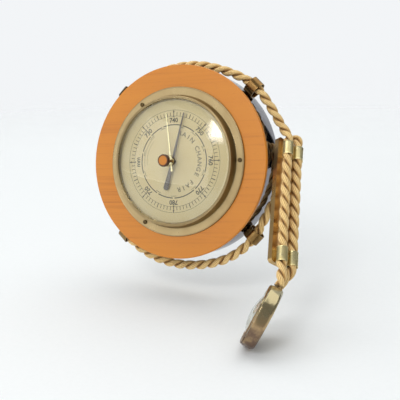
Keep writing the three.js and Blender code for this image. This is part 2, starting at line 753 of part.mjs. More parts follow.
function buildRocker() {
  const half = ROCKER_SPAN / 2;
  const at = (y) => vec(ROCKER_X, y, rockerZ);
  const shaft = bar(at(-half), at(half), ROCKER_R, 12);
  const hub = bar(at(-1.5), at(ROCKER_LONG_ARM_Y + 1.2), ROCKER_R + 0.9, 12);
  const shortArm = block(
    ROCKER_X, ROCKER_X + ROCKER_SHORT_ARM,
    0, LEVER_W / 2,
    rockerZ - 0.6, rockerZ + 0.6,
  );
  const longArm = block(
    ROCKER_X - 0.7, ROCKER_X + 0.7,
    ROCKER_LONG_ARM_Y - 0.6, ROCKER_LONG_ARM_Y + 0.6,
    rockerZ, rockerZ + ROCKER_LONG_ARM + 0.8,
  );
  add(barometer, 'rocker_shaft', fuse(shaft, hub, shortArm, longArm), FINISHES.brass);
}

// The chain leaves the pulley on a tangent and ends beside the rocker's long arm.
function buildArborAndChain() {
  const lift = PULLEY_R + FIT + CHAIN_T / 2;
  const arm = vec(ROCKER_X, ROCKER_LONG_ARM_Y + 0.6 + FIT + CHAIN_T + 0.3, 0);
  const reach = Math.hypot(arm.x, arm.y);
  const tangent = Math.atan2(arm.y, arm.x) + Math.acos(lift / reach);
  const start = vec(lift * Math.cos(tangent), lift * Math.sin(tangent), pulleyZ);
  const end = vec(arm.x, arm.y, pulleyZ);
  add(barometer, 'arbor_chain', bar(start, end, CHAIN_T / 2, 4), FINISHES.steel);
  const flange = (z) => disc(PULLEY_FLANGE_R, z, z + 0.3, SMALL_ROUND);
  const half = CHAIN_T / 2 + FIT;
  const arborTop = dialFront + ARBOR_TOP_H;
  const collet = upperBridge + BRIDGE_T + 0.3;
  const arbor = fuse(
    disc(ARBOR_R, lowerBridge + 0.1, arborTop, 12),
    disc(PULLEY_R, pulleyZ - half - 0.2, pulleyZ + half + 0.2, SMALL_ROUND),
    flange(pulleyZ - half - 0.3),
    flange(pulleyZ + half),
    disc(ARBOR_R + 0.9, collet, collet + 1, SMALL_ROUND),
  );
  add(barometer, 'hand_arbor', arbor, FINISHES.steel);
}

function buildHands() {
  const hub = 3.1;
  const hand = new THREE.Shape();
  hand.moveTo(-0.45, HAND_LENGTH);
  hand.lineTo(0.45, HAND_LENGTH);
  hand.lineTo(1.1, hub);
  hand.absarc(0, 0, hub, degToRad(70), degToRad(-70), true);
  hand.lineTo(HAND_TAIL_W / 2, -HAND_TAIL + 1.5);
  hand.lineTo(HAND_TAIL_W / 2 - 1, -HAND_TAIL);
  hand.lineTo(-HAND_TAIL_W / 2 + 1, -HAND_TAIL);
  hand.lineTo(-HAND_TAIL_W / 2, -HAND_TAIL + 1.5);
  hand.absarc(0, 0, hub, degToRad(250), degToRad(110), true);
  hand.lineTo(-1.1, hub);
  const bossT = 1.4;
  const blade = fuse(plate(hand, handZ, handZ + HAND_T), disc(2.2, handZ - 0.6, handZ + bossT, SMALL_ROUND));
  const bore = disc(ARBOR_R + FIT, handZ - 2, handZ + bossT + 1, 12);
  const pressureHand = cut(blade, [bore]).rotateZ(degToRad(HAND_TURN));
  add(barometer, 'pressure_hand', pressureHand, FINISHES.bluedSteel);

  const setHub = 3;
  const marker = new THREE.Shape();
  marker.moveTo(-0.35, SET_HAND_LENGTH);
  marker.lineTo(0.35, SET_HAND_LENGTH);
  marker.lineTo(0.6, setHub - 0.3);
  marker.absarc(0, 0, setHub, degToRad(78), degToRad(-80), true);
  marker.lineTo(0.9, -9);
  marker.lineTo(-0.9, -9);
  marker.absarc(0, 0, setHub, degToRad(260), degToRad(102), true);
  const setBlade = cut(plate(marker, setHandZ, setHandZ + HAND_T), [
    disc(STEM_R + FIT, setHandZ - 1, setHandZ + 2, 12),
  ]);
  add(barometer, 'set_hand', setBlade.rotateZ(degToRad(SET_HAND_TURN)), FINISHES.brass);
  const foot = domeTop + 2 * FIT + 0.9;
  const top = foot + KNOB_H;
  add(barometer, 'set_knob', turned([
    [0, setHandZ - 0.4], [STEM_R, setHandZ - 0.4], [STEM_R, foot], [KNOB_R - 1.4, foot],
    [KNOB_R - 1.4, foot + 1], [KNOB_R, foot + 1.6], [KNOB_R, top - 0.9],
    [KNOB_R - 0.9, top], [0, top - 0.3],
  ], 24), FINISHES.brass);
}

// Closed oval brass bands, flat where each is held to the drum by a single screw.
function buildClips() {
  const across = ROPE_R + FIT + CLIP_PLAY + CLIP_WALL;
  const out = across + CLIP_OVAL;
  const middle = CLIP_REACH - out;
  const outline = (inset) => {
    const flat = Math.acos((FIT + inset - middle) / (out - inset));
    const shape = new THREE.Shape();
    shape.absellipse(middle, 0, out - inset, across - inset, -flat, flat, false, 0);
    return shape;
  };
  const shape = outline(0);
  shape.holes.push(outline(CLIP_WALL));
  const toRadial = new THREE.Euler(0, Math.PI / 2, 0);
  const band = cut(plate(shape, -CLIP_W / 2, CLIP_W / 2, 8), [
    placed(disc(SCREW_R + FIT, -1, 2.5, 12), vec(0, 0, 0), toRadial),
  ]);
  for (const [name, angle] of Object.entries(CLIP_ANGLES)) {
    const seat = new THREE.Matrix4().makeBasis(
      onCircle(1, angle),
      vec(0, 0, 1),
      onCircle(1, angle - 90),
    ).setPosition(onCircle(DRUM_R, angle, RING_Z));
    add(barometer, `rope_clip_${name}`, band.clone().applyMatrix4(seat), FINISHES.darkBrass);
    const pin = screw(DRUM_WALL + SCREW_BITE + CLIP_WALL).applyMatrix4(
      new THREE.Matrix4().makeRotationFromEuler(toRadial),
    );
    pin.translate(FIT + CLIP_WALL, 0, 0).applyMatrix4(seat);
    add(barometer, `clip_screw_${name}`, pin, FINISHES.darkBrass);
  }
}

// The rope's way round the drum, as [angle, distance from the drum, height on the axis].
const RING_ROUTE = [
  [17.4, 11.6, 11.4], [21.5, 10.2, 11.9], [27, 9.4, 12.5], [34, 9.0, 12.9],
  [45, 9.4, 13], [56, 7.1, 13], [68, 5.1, 13], [82, 4.8, 13], [97, 4.8, 13], [111, 5.1, 13],
  [123, 7.1, 13], [135, 9.4, 13], [148, 7.6, 13], [163, 6.0, 13], [180, 5.6, 13],
  [197, 6.0, 13], [212, 7.6, 13], [225, 9.4, 13], [238, 9.8, 13], [252, 9.5, 13],
  [266, 9.3, 13], [280, 9.7, 13], [293, 10.6, 13], [304, 10.4, 13], [315, 9.4, 13],
  [322, 7.0, 12.4], [330, 5.2, 10.6], [340, 5.1, 7.9], [350, 5.2, 5.1], [358, 5.2, 2.7],
];

class RopePath extends THREE.CatmullRomCurve3 {
  constructor(points) {
    super(points, false, 'centripetal');
    this.arcLengthDivisions = 800;
  }
}

function ropeTube(points, steps) {
  const extrudePath = new RopePath(points);
  const section = roundSection(ROPE_R, ROPE_SIDES);
  return new THREE.ExtrudeGeometry(section, { steps, extrudePath, bevelEnabled: false });
}

function ropeEnd(centre) {
  return placed(new THREE.SphereGeometry(ROPE_R - 0.02, ROPE_SIDES, 6), centre);
}

// Both ends turn over into the strap: one runs in from above, the other loops squarely over the
// bar's end.
function buildRopeRing() {
  strap.updateMatrix();
  const onStrap = (x, y, z) => vec(x, y, z).applyMatrix4(strap.matrix);
  const side = ROPE_SPACING / 2;
  const points = [onStrap(-side, 0, 0), onStrap(-side, 2.6, 0)];
  for (const [angle, off, z] of RING_ROUTE) points.push(onCircle(DRUM_R + off, angle, z));
  points.push(onStrap(side, -3, -2 * LOOP_R));
  for (let i = 0; i <= 6; i += 1) {
    const angle = Math.PI * (1 - i / 6);
    const rise = Math.sin(angle) ** (2 / LOOP_SQUARE);
    const lean = Math.sign(Math.cos(angle)) * Math.abs(Math.cos(angle)) ** (2 / LOOP_SQUARE);
    points.push(onStrap(side, LOOP_R * rise, LOOP_R * (lean - 1)));
  }
  const rope = fuse(ropeTube(points, 72), ropeEnd(points[0]), ropeEnd(points[points.length - 1]));
  add(barometer, 'rope_ring', rope, FINISHES.rope);
}

function buildBar() {
  const middle = (barBottom + BAR_PAST_FOLD) / 2;
  const tray = plate(roundedBox(BAR_W, BAR_L, BAR_CORNER_R), barFront, barBack, 4);
  const hollow = roundedBox(BAR_W - 2 * BAR_WALL, BAR_L - 2 * BAR_WALL, BAR_CORNER_R - BAR_WALL);
  const cavity = plate(hollow, barFront - 1, barBack - BAR_WALL, 4);
  const legHoles = tubeClipYs().flatMap((y) => [-1, 1].map((side) => placed(
    disc(CLIP_LEG_R + FIT, barBack - 3, barBack + 1, 10),
    vec(side * CLIP_LEG_X, y - middle, 0),
  )));
  const body = cut(tray, [cavity, ...legHoles]);
  add(strap, 'thermometer_case', body.translate(0, middle, 0), FINISHES.brass);

  const scaleBack = barBack - BAR_WALL - FIT;
  const scaleFront = scaleBack - SCALE_T;
  const play = 2 * (BAR_WALL + FIT);
  const scale = cut(
    plate(roundedBox(BAR_W - play, BAR_L - play, BAR_CORNER_R - BAR_WALL), scaleFront, scaleBack, 4),
    legHoles,
  );
  add(strap, 'scale_plate', scale.translate(0, middle, 0), FINISHES.dial);
  buildThermometer(scaleFront);
}

function tubeClipYs() {
  return [GLASS_START + 8, GLASS_START + glassL - 8].map((y) => -y);
}

// The bulb lies towards the barometer, which is the lower end when the strap hangs.
function buildThermometer(scaleFront) {
  const z = scaleFront - FIT - BULB_R;
  const along = new THREE.Euler(Math.PI / 2, 0, 0);
  const glass = placed(
    ring(GLASS_BORE_R, GLASS_R, 0, glassL, 10),
    vec(0, -GLASS_START, z),
    along,
  );
  add(strap, 'thermometer_tube', glass, FINISHES.glass);
  const bulb = new THREE.SphereGeometry(BULB_R, 10, 8).translate(0, -GLASS_START + FIT + BULB_R, z);
  const thread = placed(disc(SPIRIT_R, -BULB_R, SPIRIT_L, 6), vec(0, -GLASS_START, z), along);
  add(strap, 'thermometer_spirit', fuse(bulb, thread), FINISHES.spirit);
  const strapR = GLASS_R + FIT;
  const clip = new THREE.Shape();
  clip.moveTo(-4, 0);
  clip.lineTo(-4, -0.4);
  clip.lineTo(-strapR - 0.4, -0.4);
  const drop = -(scaleFront - FIT - z);
  clip.absarc(0, drop, strapR + 0.4, Math.PI, 2 * Math.PI, false);
  clip.lineTo(strapR + 0.4, -0.4);
  clip.lineTo(4, -0.4);
  clip.lineTo(4, 0);
  clip.lineTo(strapR, 0);
  clip.absarc(0, drop, strapR, 2 * Math.PI, Math.PI, true);
  clip.lineTo(-strapR, 0);
  const legTop = barBack - BAR_WALL + 0.6;
  const legs = [-1, 1].map((side) => placed(
    disc(CLIP_LEG_R, scaleFront - FIT - 0.2, legTop, 8),
    vec(side * CLIP_LEG_X, 0, 0),
  ));
  const saddle = placed(plate(clip, -1.2, 1.2, 6), vec(0, 0, scaleFront - FIT), along);
  const clips = tubeClipYs().map((y) => fuse(saddle, ...legs).translate(0, y, 0));
  addEach(strap, 'tube_clip', clips, FINISHES.brass);
}

function buildFerrules() {
  const bore = ROPE_R + FIT;
  const bead = ferruleR + FERRULE_BEAD;
  const body = ringProfile([
    [bore, 0], [bead, 0], [bead, 0.9], [ferruleR, 1.2],
    [ferruleR, FERRULE_L - 1.2], [bead, FERRULE_L - 0.9], [bead, FERRULE_L], [bore, FERRULE_L],
  ], 18).rotateX(Math.PI / 2);
  for (const [end, start] of [['top', FERRULE_TOP], ['bottom', FERRULE_TOP + ferrulePitch]]) {
    for (const [side, x] of [['front', -1], ['back', 1]]) {
      const spot = vec(x * ROPE_SPACING / 2, -start, 0);
      add(strap, `ferrule_${end}_${side}`, placed(body, spot), FINISHES.brass);
    }
  }
}

// Below the bar the two ropes turn about each other and enter the hygrometer side by side.
function tailPoint(side, t) {
  const reach = tailEnd.y - ropeBottom;
  const from = vec(0, ropeBottom, 0);
  const leave = vec(0, reach, 0);
  const arrive = hygroUp.clone().multiplyScalar(reach);
  const [a, b] = [2 * t ** 3 - 3 * t ** 2 + 1, t ** 3 - 2 * t ** 2 + t];
  const centre = from.multiplyScalar(a).addScaledVector(leave, b)
    .addScaledVector(tailEnd, 1 - a).addScaledVector(arrive, t ** 3 - t ** 2);
  const blend = t * t * (3 - 2 * t);
  const offset = vec(ROPE_SPACING / 2, 0, 0).lerp(hygroAcross.clone().multiplyScalar(-TAIL_SPACING / 2), blend);
  return centre.addScaledVector(offset, side);
}

function buildStrapRopes() {
  const top = -(ROPE_R + FOLD_GAP);
  for (const [name, side] of [['rope_front', -1], ['rope_back', 1]]) {
    const x = side * ROPE_SPACING / 2;
    const points = [vec(x, top, 0), vec(x, ropeBottom * 0.35, 0), vec(x, ropeBottom * 0.7, 0), vec(x, ropeBottom + 4, 0)];
    for (let i = 0; i <= 8; i += 1) points.push(tailPoint(side, i / 8));
    add(strap, name, fuse(ropeTube(points, 30), ropeEnd(points[points.length - 1])), FINISHES.rope);
  }
}

function buildHygrometer() {
  const corner = HYGRO_CORNER;
  const back = HYGRO_BACK_Z;
  const inside = back + HYGRO_BACK_T;
  const cup = turned([
    [0, back], ...arc(HYGRO_R - corner, back + corner, corner, -90, 0, 3),
    [HYGRO_R, HYGRO_FRONT_Z], [HYGRO_R - HYGRO_WALL, HYGRO_FRONT_Z],
    [HYGRO_R - HYGRO_WALL, inside], [0, inside],
  ], ROUND);
  const mouth = ROPE_R + FIT;
  const slot = new THREE.Shape();
  slot.absarc(TAIL_SPACING / 2, 0, mouth, -Math.PI / 2, Math.PI / 2, false);
  slot.absarc(-TAIL_SPACING / 2, 0, mouth, Math.PI / 2, 1.5 * Math.PI, false);
  const opening = plate(slot, HYGRO_R - HYGRO_MOUTH_DEPTH, HYGRO_R + 2, 8).rotateX(-Math.PI / 2);
  add(hygrometer, 'hygrometer_case', cut(cup, [opening]), FINISHES.darkBrass);

  const foot = HYGRO_FRONT_Z + FIT;
  const top = foot + HYGRO_BEZEL_T;
  const sightR = HYGRO_R - HYGRO_BEZEL_W;
  add(hygrometer, 'hygrometer_bezel', ringProfile([
    [HYGRO_R, foot], [HYGRO_R, foot + 0.5], [HYGRO_R - 0.8, top], [sightR + 0.8, top + 0.2],
    [sightR, top - 0.4], [sightR, foot],
  ], ROUND), FINISHES.brass);
  const edge = foot - FIT - HYGRO_CRYSTAL_T;
  const rim = sightR - 0.5;
  add(hygrometer, 'hygrometer_crystal', turned([
    ...capProfile(rim - 0.4, edge, HYGRO_DOME, 0, 4).reverse(),
    [sightR + 1.8, edge], [sightR + 1.8, edge + HYGRO_CRYSTAL_T],
    ...capProfile(rim, edge + HYGRO_CRYSTAL_T, HYGRO_DOME, 0, 4),
  ], 28), FINISHES.glass);
  const dialTop = HYGRO_DIAL_Z + SCALE_T;
  const feet = [90, 210, 330].map((angle) => placed(
    disc(HYGRO_FOOT_R, inside + FIT, HYGRO_DIAL_Z + 0.2, 8),
    onCircle(HYGRO_FOOT_CIRCLE_R, angle - 60),
  ));
  const dial = disc(HYGRO_R - HYGRO_DIAL_INSET, HYGRO_DIAL_Z, dialTop, 36);
  const face = cut(dial, [disc(1.1, HYGRO_DIAL_Z - 1, dialTop + 1, 12)]);
  add(hygrometer, 'hygrometer_dial', fuse(face, ...feet), FINISHES.dial);
  buildHumidityCoil(inside);

  const handLow = dialTop + 0.7;
  const hand = new THREE.Shape();
  hand.moveTo(-0.3, -HYGRO_HAND_L);
  hand.lineTo(0.3, -HYGRO_HAND_L);
  hand.lineTo(0.7, -1.6);
  hand.absarc(0, 0, 1.8, degToRad(-65), degToRad(65), false);
  hand.lineTo(1, 6);
  hand.lineTo(-1, 6);
  hand.absarc(0, 0, 1.8, degToRad(115), degToRad(245), false);
  hand.lineTo(-0.7, -1.6);
  const blade = plate(hand, handLow, handLow + 0.4, 4);
  const arbor = disc(0.7, inside + FIT, handLow + 0.9, 10);
  add(hygrometer, 'humidity_hand', fuse(blade, arbor), FINISHES.bluedSteel);
}

function buildHumidityCoil(inside) {
  const turns = 3;
  const [start, end, z] = [0.7 + FIT + 0.5, 8.5, inside + 3];
  class Coil extends THREE.Curve {
    getPoint(t) {
      const angle = 2 * Math.PI * turns * t;
      const r = start + (end - start) * t;
      return vec(r * Math.cos(angle), r * Math.sin(angle), z);
    }
  }
  const section = roundSection(0.45, 4);
  const strip = new THREE.ExtrudeGeometry(section, {
    steps: turns * 12, extrudePath: new Coil(), bevelEnabled: false,
  });
  const stud = placed(disc(0.8, inside + FIT, z + 0.8, 8), vec(end + 0.3, 0, 0));
  add(hygrometer, 'humidity_coil', fuse(strip, stud), FINISHES.darkBrass);
}

buildDrum();
buildBackCover();
buildPanel();
buildBezel();
buildCrystalAndDial();
buildInstrumentCase();
buildMovementBase();
buildCapsule();
buildMainSpring();
buildAdjuster();
buildLever();
buildRocker();
buildBridges();
buildHairspring();
buildArborAndChain();
buildHands();
buildClips();
buildRopeRing();
buildBar();
buildFerrules();
buildStrapRopes();
buildHygrometer();

export default object;
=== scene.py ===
"""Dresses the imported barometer: finished surfaces, materials, a laid rope, dial printing and a stage."""

import math

import bmesh
import bpy
import numpy as np
from bpy.props import FloatProperty, FloatVectorProperty, PointerProperty
from mathutils import Matrix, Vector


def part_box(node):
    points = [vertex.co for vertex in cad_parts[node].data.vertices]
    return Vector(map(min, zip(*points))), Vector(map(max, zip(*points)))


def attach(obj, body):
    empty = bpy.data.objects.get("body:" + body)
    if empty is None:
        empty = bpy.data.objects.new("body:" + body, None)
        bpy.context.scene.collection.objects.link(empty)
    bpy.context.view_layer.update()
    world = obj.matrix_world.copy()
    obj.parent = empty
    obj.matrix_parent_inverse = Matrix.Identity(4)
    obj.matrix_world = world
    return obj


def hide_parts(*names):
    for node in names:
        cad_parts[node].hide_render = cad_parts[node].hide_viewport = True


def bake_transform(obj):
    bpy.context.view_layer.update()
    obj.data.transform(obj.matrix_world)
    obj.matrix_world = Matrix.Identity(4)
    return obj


bl_info = {
    "name": "Rope-hung barometer",
    "version": (1, 0, 0),
    "blender": (4, 5, 0),
    "location": "View3D > Sidebar > Barometer",
    "description": "Builds the finish of a rope-hung aneroid barometer on its packed solids",
    "category": "Object",
}

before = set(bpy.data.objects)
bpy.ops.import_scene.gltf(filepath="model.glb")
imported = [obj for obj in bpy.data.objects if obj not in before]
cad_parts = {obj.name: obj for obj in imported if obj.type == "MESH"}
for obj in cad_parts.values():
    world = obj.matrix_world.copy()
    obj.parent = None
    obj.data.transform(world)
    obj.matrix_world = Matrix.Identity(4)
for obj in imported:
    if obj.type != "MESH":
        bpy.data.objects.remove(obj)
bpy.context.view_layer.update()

MM = 0.001

# Distances in metres under which points are one point, and under which a face has no size
WELD, SLIVER = 2e-6, 1e-7

# How the barometer stands, in degrees
LEAN = 12.6
ROLL = 6.4

# Drum, wooden face and back cover, in millimetres along the drum's own axis
COVER_R, COVER_T = 72, 1.6
DRUM_R, DRUM_WALL, DRUM_CORNER = 82.5, 1.2, 3.0
DRUM_BACK, DRUM_FRONT = 1.9, 32.2
DRUM_OPENING_R, DRUM_LIP_R = 64, 76
PANEL_R, PANEL_HOLE_R = 85, 56
PANEL_BACK, PANEL_FRONT = 32.5, 36
BACK_SCREW_R, BACK_SCREW_HEAD_R, BACK_SCREW_SINK = 68, 2.2, 0.1
ADJUST_X = -24
SHANK_R, SLOT_W, SLOT_DEPTH = 1.1, 0.64, 0.6

# Bezel, glass, dial and set knob
BEZEL_R, BEZEL_FOOT, BEZEL_FLANGE = 65.4, 36.3, 37.6
BEZEL_RING_R, BEZEL_BROW = 59.2, 45.6
BEZEL_SCREW_R, BEZEL_SCREW_ANGLES = 61.4, (0, 123.5, 240)
LIP_R, LIP_Z = 54.3, 44.5
CRYSTAL_R, CRYSTAL_EDGE, CRYSTAL_T, CRYSTAL_RISE = 56, 42.9, 1.3, 9.3
CRYSTAL_BORE_R = 1.9
SIGHT_R, SIGHT_BACK, SIGHT_FRONT = 53.2, 40.9, 42.6
DIAL_R, DIAL_HOLE_R, DIAL_BACK, DIAL_FRONT = 53.8, 2.2, 39.8, 40.6
STEM_R, STEM_BACK, KNOB_R, KNOB_H = 1, 45.1, 5.4, 5.6
KNURLS, KNURL_DEPTH = 32, 0.02
DOME_TOP = 53.5

# Rope and its four clips. A strand's section is wider than it is deep by its plumpness, and its
# yarns run round it by the twist given in each lay
ROPE_R = 4.1
STRAND_PLUMPNESS, YARN_TWIST = 1.34, 0.9
CLIP_ANGLES = {"upper_right": 45, "upper_left": 135, "lower_left": 225, "lower_right": -45}
CLIP_W, CLIP_WALL, CLIP_REACH, RING_Z = 10, 0.8, 15.6, 13
CLIP_HALF_OUT, CLIP_HALF_ACROSS = 8.1, 6.3

# Strap, thermometer bar and tail
STRAP_ANGLE, STRAP_STANDOFF, STRAP_Z = 8.7, 17.54, 10.67
STRAP_TURN = (-44, 64.5, 17.5)
ROPE_SPACING = 12
LOOP_R, LOOP_SQUARE = 7.75, 3
BEND_ABOVE, BEND_BELOW = 4.5, 2.5
BAR_W, BAR_L, BAR_T, BAR_WALL, BAR_CORNER_R = 24, 116, 4.4, 0.8, 3
BAR_PAST_FOLD, BAR_BACK = 2.9, -5.4
FERRULE_L, FERRULE_TOP, FERRULE_PITCH = 12.8, 3.05, 98
FERRULE_BORE_R, FERRULE_R = 4.15, 4.6
SCALE_T, SCALE_INSET, SCALE_GAP = 0.6, 2.2, 0.3
SCALE_START, SCALE_PITCH, LEG_X, LEG_INSET, LEG_HOLE_R = 6, 1.15, 3.2, 8, 0.8
GLASS_START, GLASS_L, GLASS_R, GLASS_BORE_R, BULB_R = 15, 82, 1.2, 0.65, 1.3
TAIL = (-5, -20.2, -3.4)
HYGRO_TURN = (-143.6, -50.9, -156.3)
TAIL_SPACING, TAIL_STANDOFF = 8.9, 1.5

# Hygrometer
HYGRO_R, HYGRO_WALL, HYGRO_BACK, HYGRO_FRONT, HYGRO_CORNER = 25.5, 0.8, -5.2, 5, 2.6
HYGRO_BEZEL_T, HYGRO_SIGHT_R, HYGRO_DOME, HYGRO_CRYSTAL_T = 1.3, 20, 5, 1
HYGRO_DIAL_Z = 2.6

# Printing: each kind of tick as its start and end from the dial's middle and its half width, the
# radii of circles, numbers and words, a letter's height, its pitch round the dial in degrees and how
# much bolder it is made, as a share of its height, and the ink's lift off its plate and thickness
TICKS = 80
TEN_TICK, FIVE_TICK, ONE_TICK = (38.6, 44.5, 0.32), (39.2, 43.3, 0.34), (39.3, 42.6, 0.24)
TEN_CROSSBAR_RADII, TRACK_RADII = (38.6, 42.9), (39.3, 44.5)
BAND_R, MARK_R, NUMBER_R, WEATHER_R = 31.8, 30.2, 35.5, 25
LETTER_H, LETTER_PITCH, LETTER_BOLD = 5.6, 10.5, 0.022
HYGRO_TRACK_R, HYGRO_NUMBER_R, HYGRO_SWEEP = 18.2, 12.8, 130
INK_LIFT, INK_T, FINE_INK_T = 0.02, 0.05, 0.04

# The photograph's camera and the point of the glass that its glare lies on, in metres and degrees
CAMERA_AT = (0.3495, -0.6592, 0.1515)
CAMERA_TURN = (76, 0, 27.6)
CAMERA_LENS, SENSOR_WIDTH = 74.97, 36
GLARE_AT = (0.02, -0.05, 0.03)

# Lamps, in metres and watts: four nested ones that make a window's soft-edged glare, and large
# soft ones. Then the world's colour, its light on the object, and how bright the camera sees it
WINDOW_AT, WINDOW_STEP, WINDOW_POWER = (0.145, -0.99, 0.744), 0.006, 0.8
WINDOW_WIDTHS, WINDOW_ASPECT = (0.46, 0.39, 0.32, 0.25), 0.94
WALL_LAMPS = {
    "far_wall": ((-1.0, -1.94, 0.32), (0, 0, 0), (3.8, 3.2), 20, (1, 0.99, 0.97)),
    "near_wall": ((-0.96, -1.87, 0.32), (0, 0, 0), (2.4, 2.0), 11, (1, 0.99, 0.97)),
    "overhead": ((-0.3, 0.6, 1.8), (-0.1, 0.3, 0), (3.4, 2.6), 42, (1, 0.995, 0.985)),
}

WORLD_COLOUR, WORLD_LIGHT, WORLD_SEEN = (0.96, 0.98, 1.0, 1), 0.3, 0.93

# The stage's paper, in metres: where it turns up, how round and how high, where it starts and its
# half width, and how far it lies under the object. Then the black card
PAPER_REACH, PAPER_TURN_R, PAPER_HEIGHT, PAPER_NEAR, PAPER_HALF_W = 1.1, 0.6, 2.2, -3.0, 4.0
FLOOR_GAP = 0.0002
CARD_AT, CARD_TOWARD, CARD_SIZE = (0.5, 0.62, 0.02), (0.09, 0, 0), (0.42, 0.5)


def turned_frame(parent, origin, degrees):
    """A frame at origin (mm) in its parent, turned about X, then the new Y, then the new Z."""
    x, y, z = (math.radians(a) for a in degrees)
    turn = Matrix.Rotation(x, 4, "X") @ Matrix.Rotation(y, 4, "Y") @ Matrix.Rotation(z, 4, "Z")
    return parent @ np.array(Matrix.Translation(origin) @ turn)


def on_circle(radius, degrees, z=0.0):
    """Points at a radius and angles about Z, at a height."""
    a = np.radians(degrees)
    return np.stack(np.broadcast_arrays(radius * np.cos(a), radius * np.sin(a), z), -1)


BAROMETER = turned_frame(np.eye(4), (0, 0, 0), (90 - LEAN, 0, ROLL))
STRAP = turned_frame(BAROMETER, on_circle(DRUM_R + STRAP_STANDOFF, STRAP_ANGLE, STRAP_Z), STRAP_TURN)
ROPE_BOTTOM = -(FERRULE_TOP + FERRULE_PITCH + FERRULE_L)
HYGRO_AXES = turned_frame(np.eye(4), (0, 0, 0), HYGRO_TURN)[:3, :3]
TAIL_END = np.array([TAIL[0], TAIL[1] + ROPE_BOTTOM, TAIL[2]])
HYGROMETER = turned_frame(STRAP, TAIL_END - HYGRO_AXES[:, 1] * (HYGRO_R + TAIL_STANDOFF), HYGRO_TURN)


def to_row(points, placed):
    """Millimetres in a frame to metres in the row's own frame."""
    return (points @ placed[:3, :3].T + placed[:3, 3]) * MM


def srgb(hex_code):
    """An sRGB hex colour as the linear colour that the shaders take."""
    value = np.array([int(hex_code[i : i + 2], 16) for i in (1, 3, 5)]) / 255
    linear = np.where(value <= 0.04045, value / 12.92, ((value + 0.055) / 1.055) ** 2.4)
    return (*linear.tolist(), 1.0)


def node(tree, kind, values=None, links=None, stops=None, **settings):
    """Adds a shader node of a kind with its settings, unlinked values, links and, on a ramp, its stops."""
    made = tree.nodes.new("ShaderNode" + kind)
    for name, value in settings.items():
        setattr(made, name, value)
    for socket, value in (values or {}).items():
        made.inputs[socket].default_value = value
    for socket, source in (links or {}).items():
        tree.links.new(source, made.inputs[socket])
    if stops:
        elements = made.color_ramp.elements
        while len(elements) < len(stops):
            elements.new(0.5)
        for element, (position, colour) in zip(elements, stops):
            element.position, element.color = position, colour
    return made


def shader(name, values):
    """A material with one Principled shader, whose constant inputs sit on its own sockets."""
    material = bpy.data.materials.new(name)
    material.use_nodes = True
    tree = material.node_tree
    surface = tree.nodes["Principled BSDF"]
    for socket, value in values.items():
        surface.inputs[socket].default_value = value
    return material, tree, surface


def own_coordinates(tree, placed, scale=(1, 1, 1)):
    """Object coordinates turned into a frame of the object, in units of the scale given."""
    turn = Matrix(placed[:3, :3].tolist()).to_euler("XYZ")
    place = Matrix.Translation(placed[:3, 3] * MM).to_translation()
    source = node(tree, "TexCoord").outputs["Object"]
    unturned = node(tree, "Mapping", {"Rotation": turn, "Location": place},
                    {"Vector": source}, vector_type="TEXTURE")
    return node(tree, "Mapping", {"Scale": scale}, {"Vector": unturned.outputs[0]}).outputs[0]


def stained_beech(finish):
    """Beech ring, turned and stained orange under satin varnish: quiet straight grain in streaks
    2.5 mm wide, and short dark rays 7 mm long, all along the dial's own level line."""
    material, tree, surface = shader("stained_beech", {
        "Roughness": 0.45, "Coat Weight": 0.15, "Coat Roughness": 0.3})
    along = own_coordinates(tree, BAROMETER, (9, 400, 400))
    streaks = node(tree, "TexNoise", {"Scale": 1.0, "Detail": 5, "Roughness": 0.55, "Distortion": 0.4},
                   {"Vector": along}).outputs["Fac"]
    broad = node(tree, "TexNoise", {"Scale": 1.0, "Detail": 2},
                 {"Vector": own_coordinates(tree, BAROMETER, (5, 28, 28))}).outputs["Fac"]
    mixed = node(tree, "Math", {1: 0.5}, {0: streaks}, operation="MULTIPLY").outputs[0]
    broad_half = node(tree, "Math", {1: 0.5}, {0: broad}, operation="MULTIPLY").outputs[0]
    figure = node(tree, "Math", None, {0: mixed, 1: broad_half}, operation="ADD").outputs[0]
    stain = tuple(finish.wood)
    dark = tuple(c * k for c, k in zip(stain, (0.8, 0.7, 0.55)))
    light = tuple(min(1, c * k) for c, k in zip(stain, (1.04, 1.08, 1.12)))
    grain = node(tree, "ValToRGB", None, {"Fac": figure}, stops=[
        (0.32, (*dark, 1)), (0.48, (*stain, 1)), (0.68, (*light, 1))]).outputs["Color"]
    flecks = node(tree, "TexNoise", {"Scale": 1.0, "Detail": 1},
                  {"Vector": own_coordinates(tree, BAROMETER, (140, 1500, 1500))}).outputs["Fac"]
    fleck = node(tree, "ValToRGB", None, {"Fac": flecks}, stops=[
        (0.24, (0.62, 0.52, 0.42, 1)), (0.32, (1, 1, 1, 1))]).outputs["Color"]
    colour = node(tree, "Mix", {"Factor": 0.45}, {"A": grain, "B": fleck},
                  data_type="RGBA", blend_type="MULTIPLY").outputs["Result"]
    tree.links.new(colour, surface.inputs["Base Color"])
    bump = node(tree, "Bump", {"Strength": 0.12, "Distance": 0.0002}, {"Height": flecks})
    tree.links.new(bump.outputs[0], surface.inputs["Normal"])
    return material


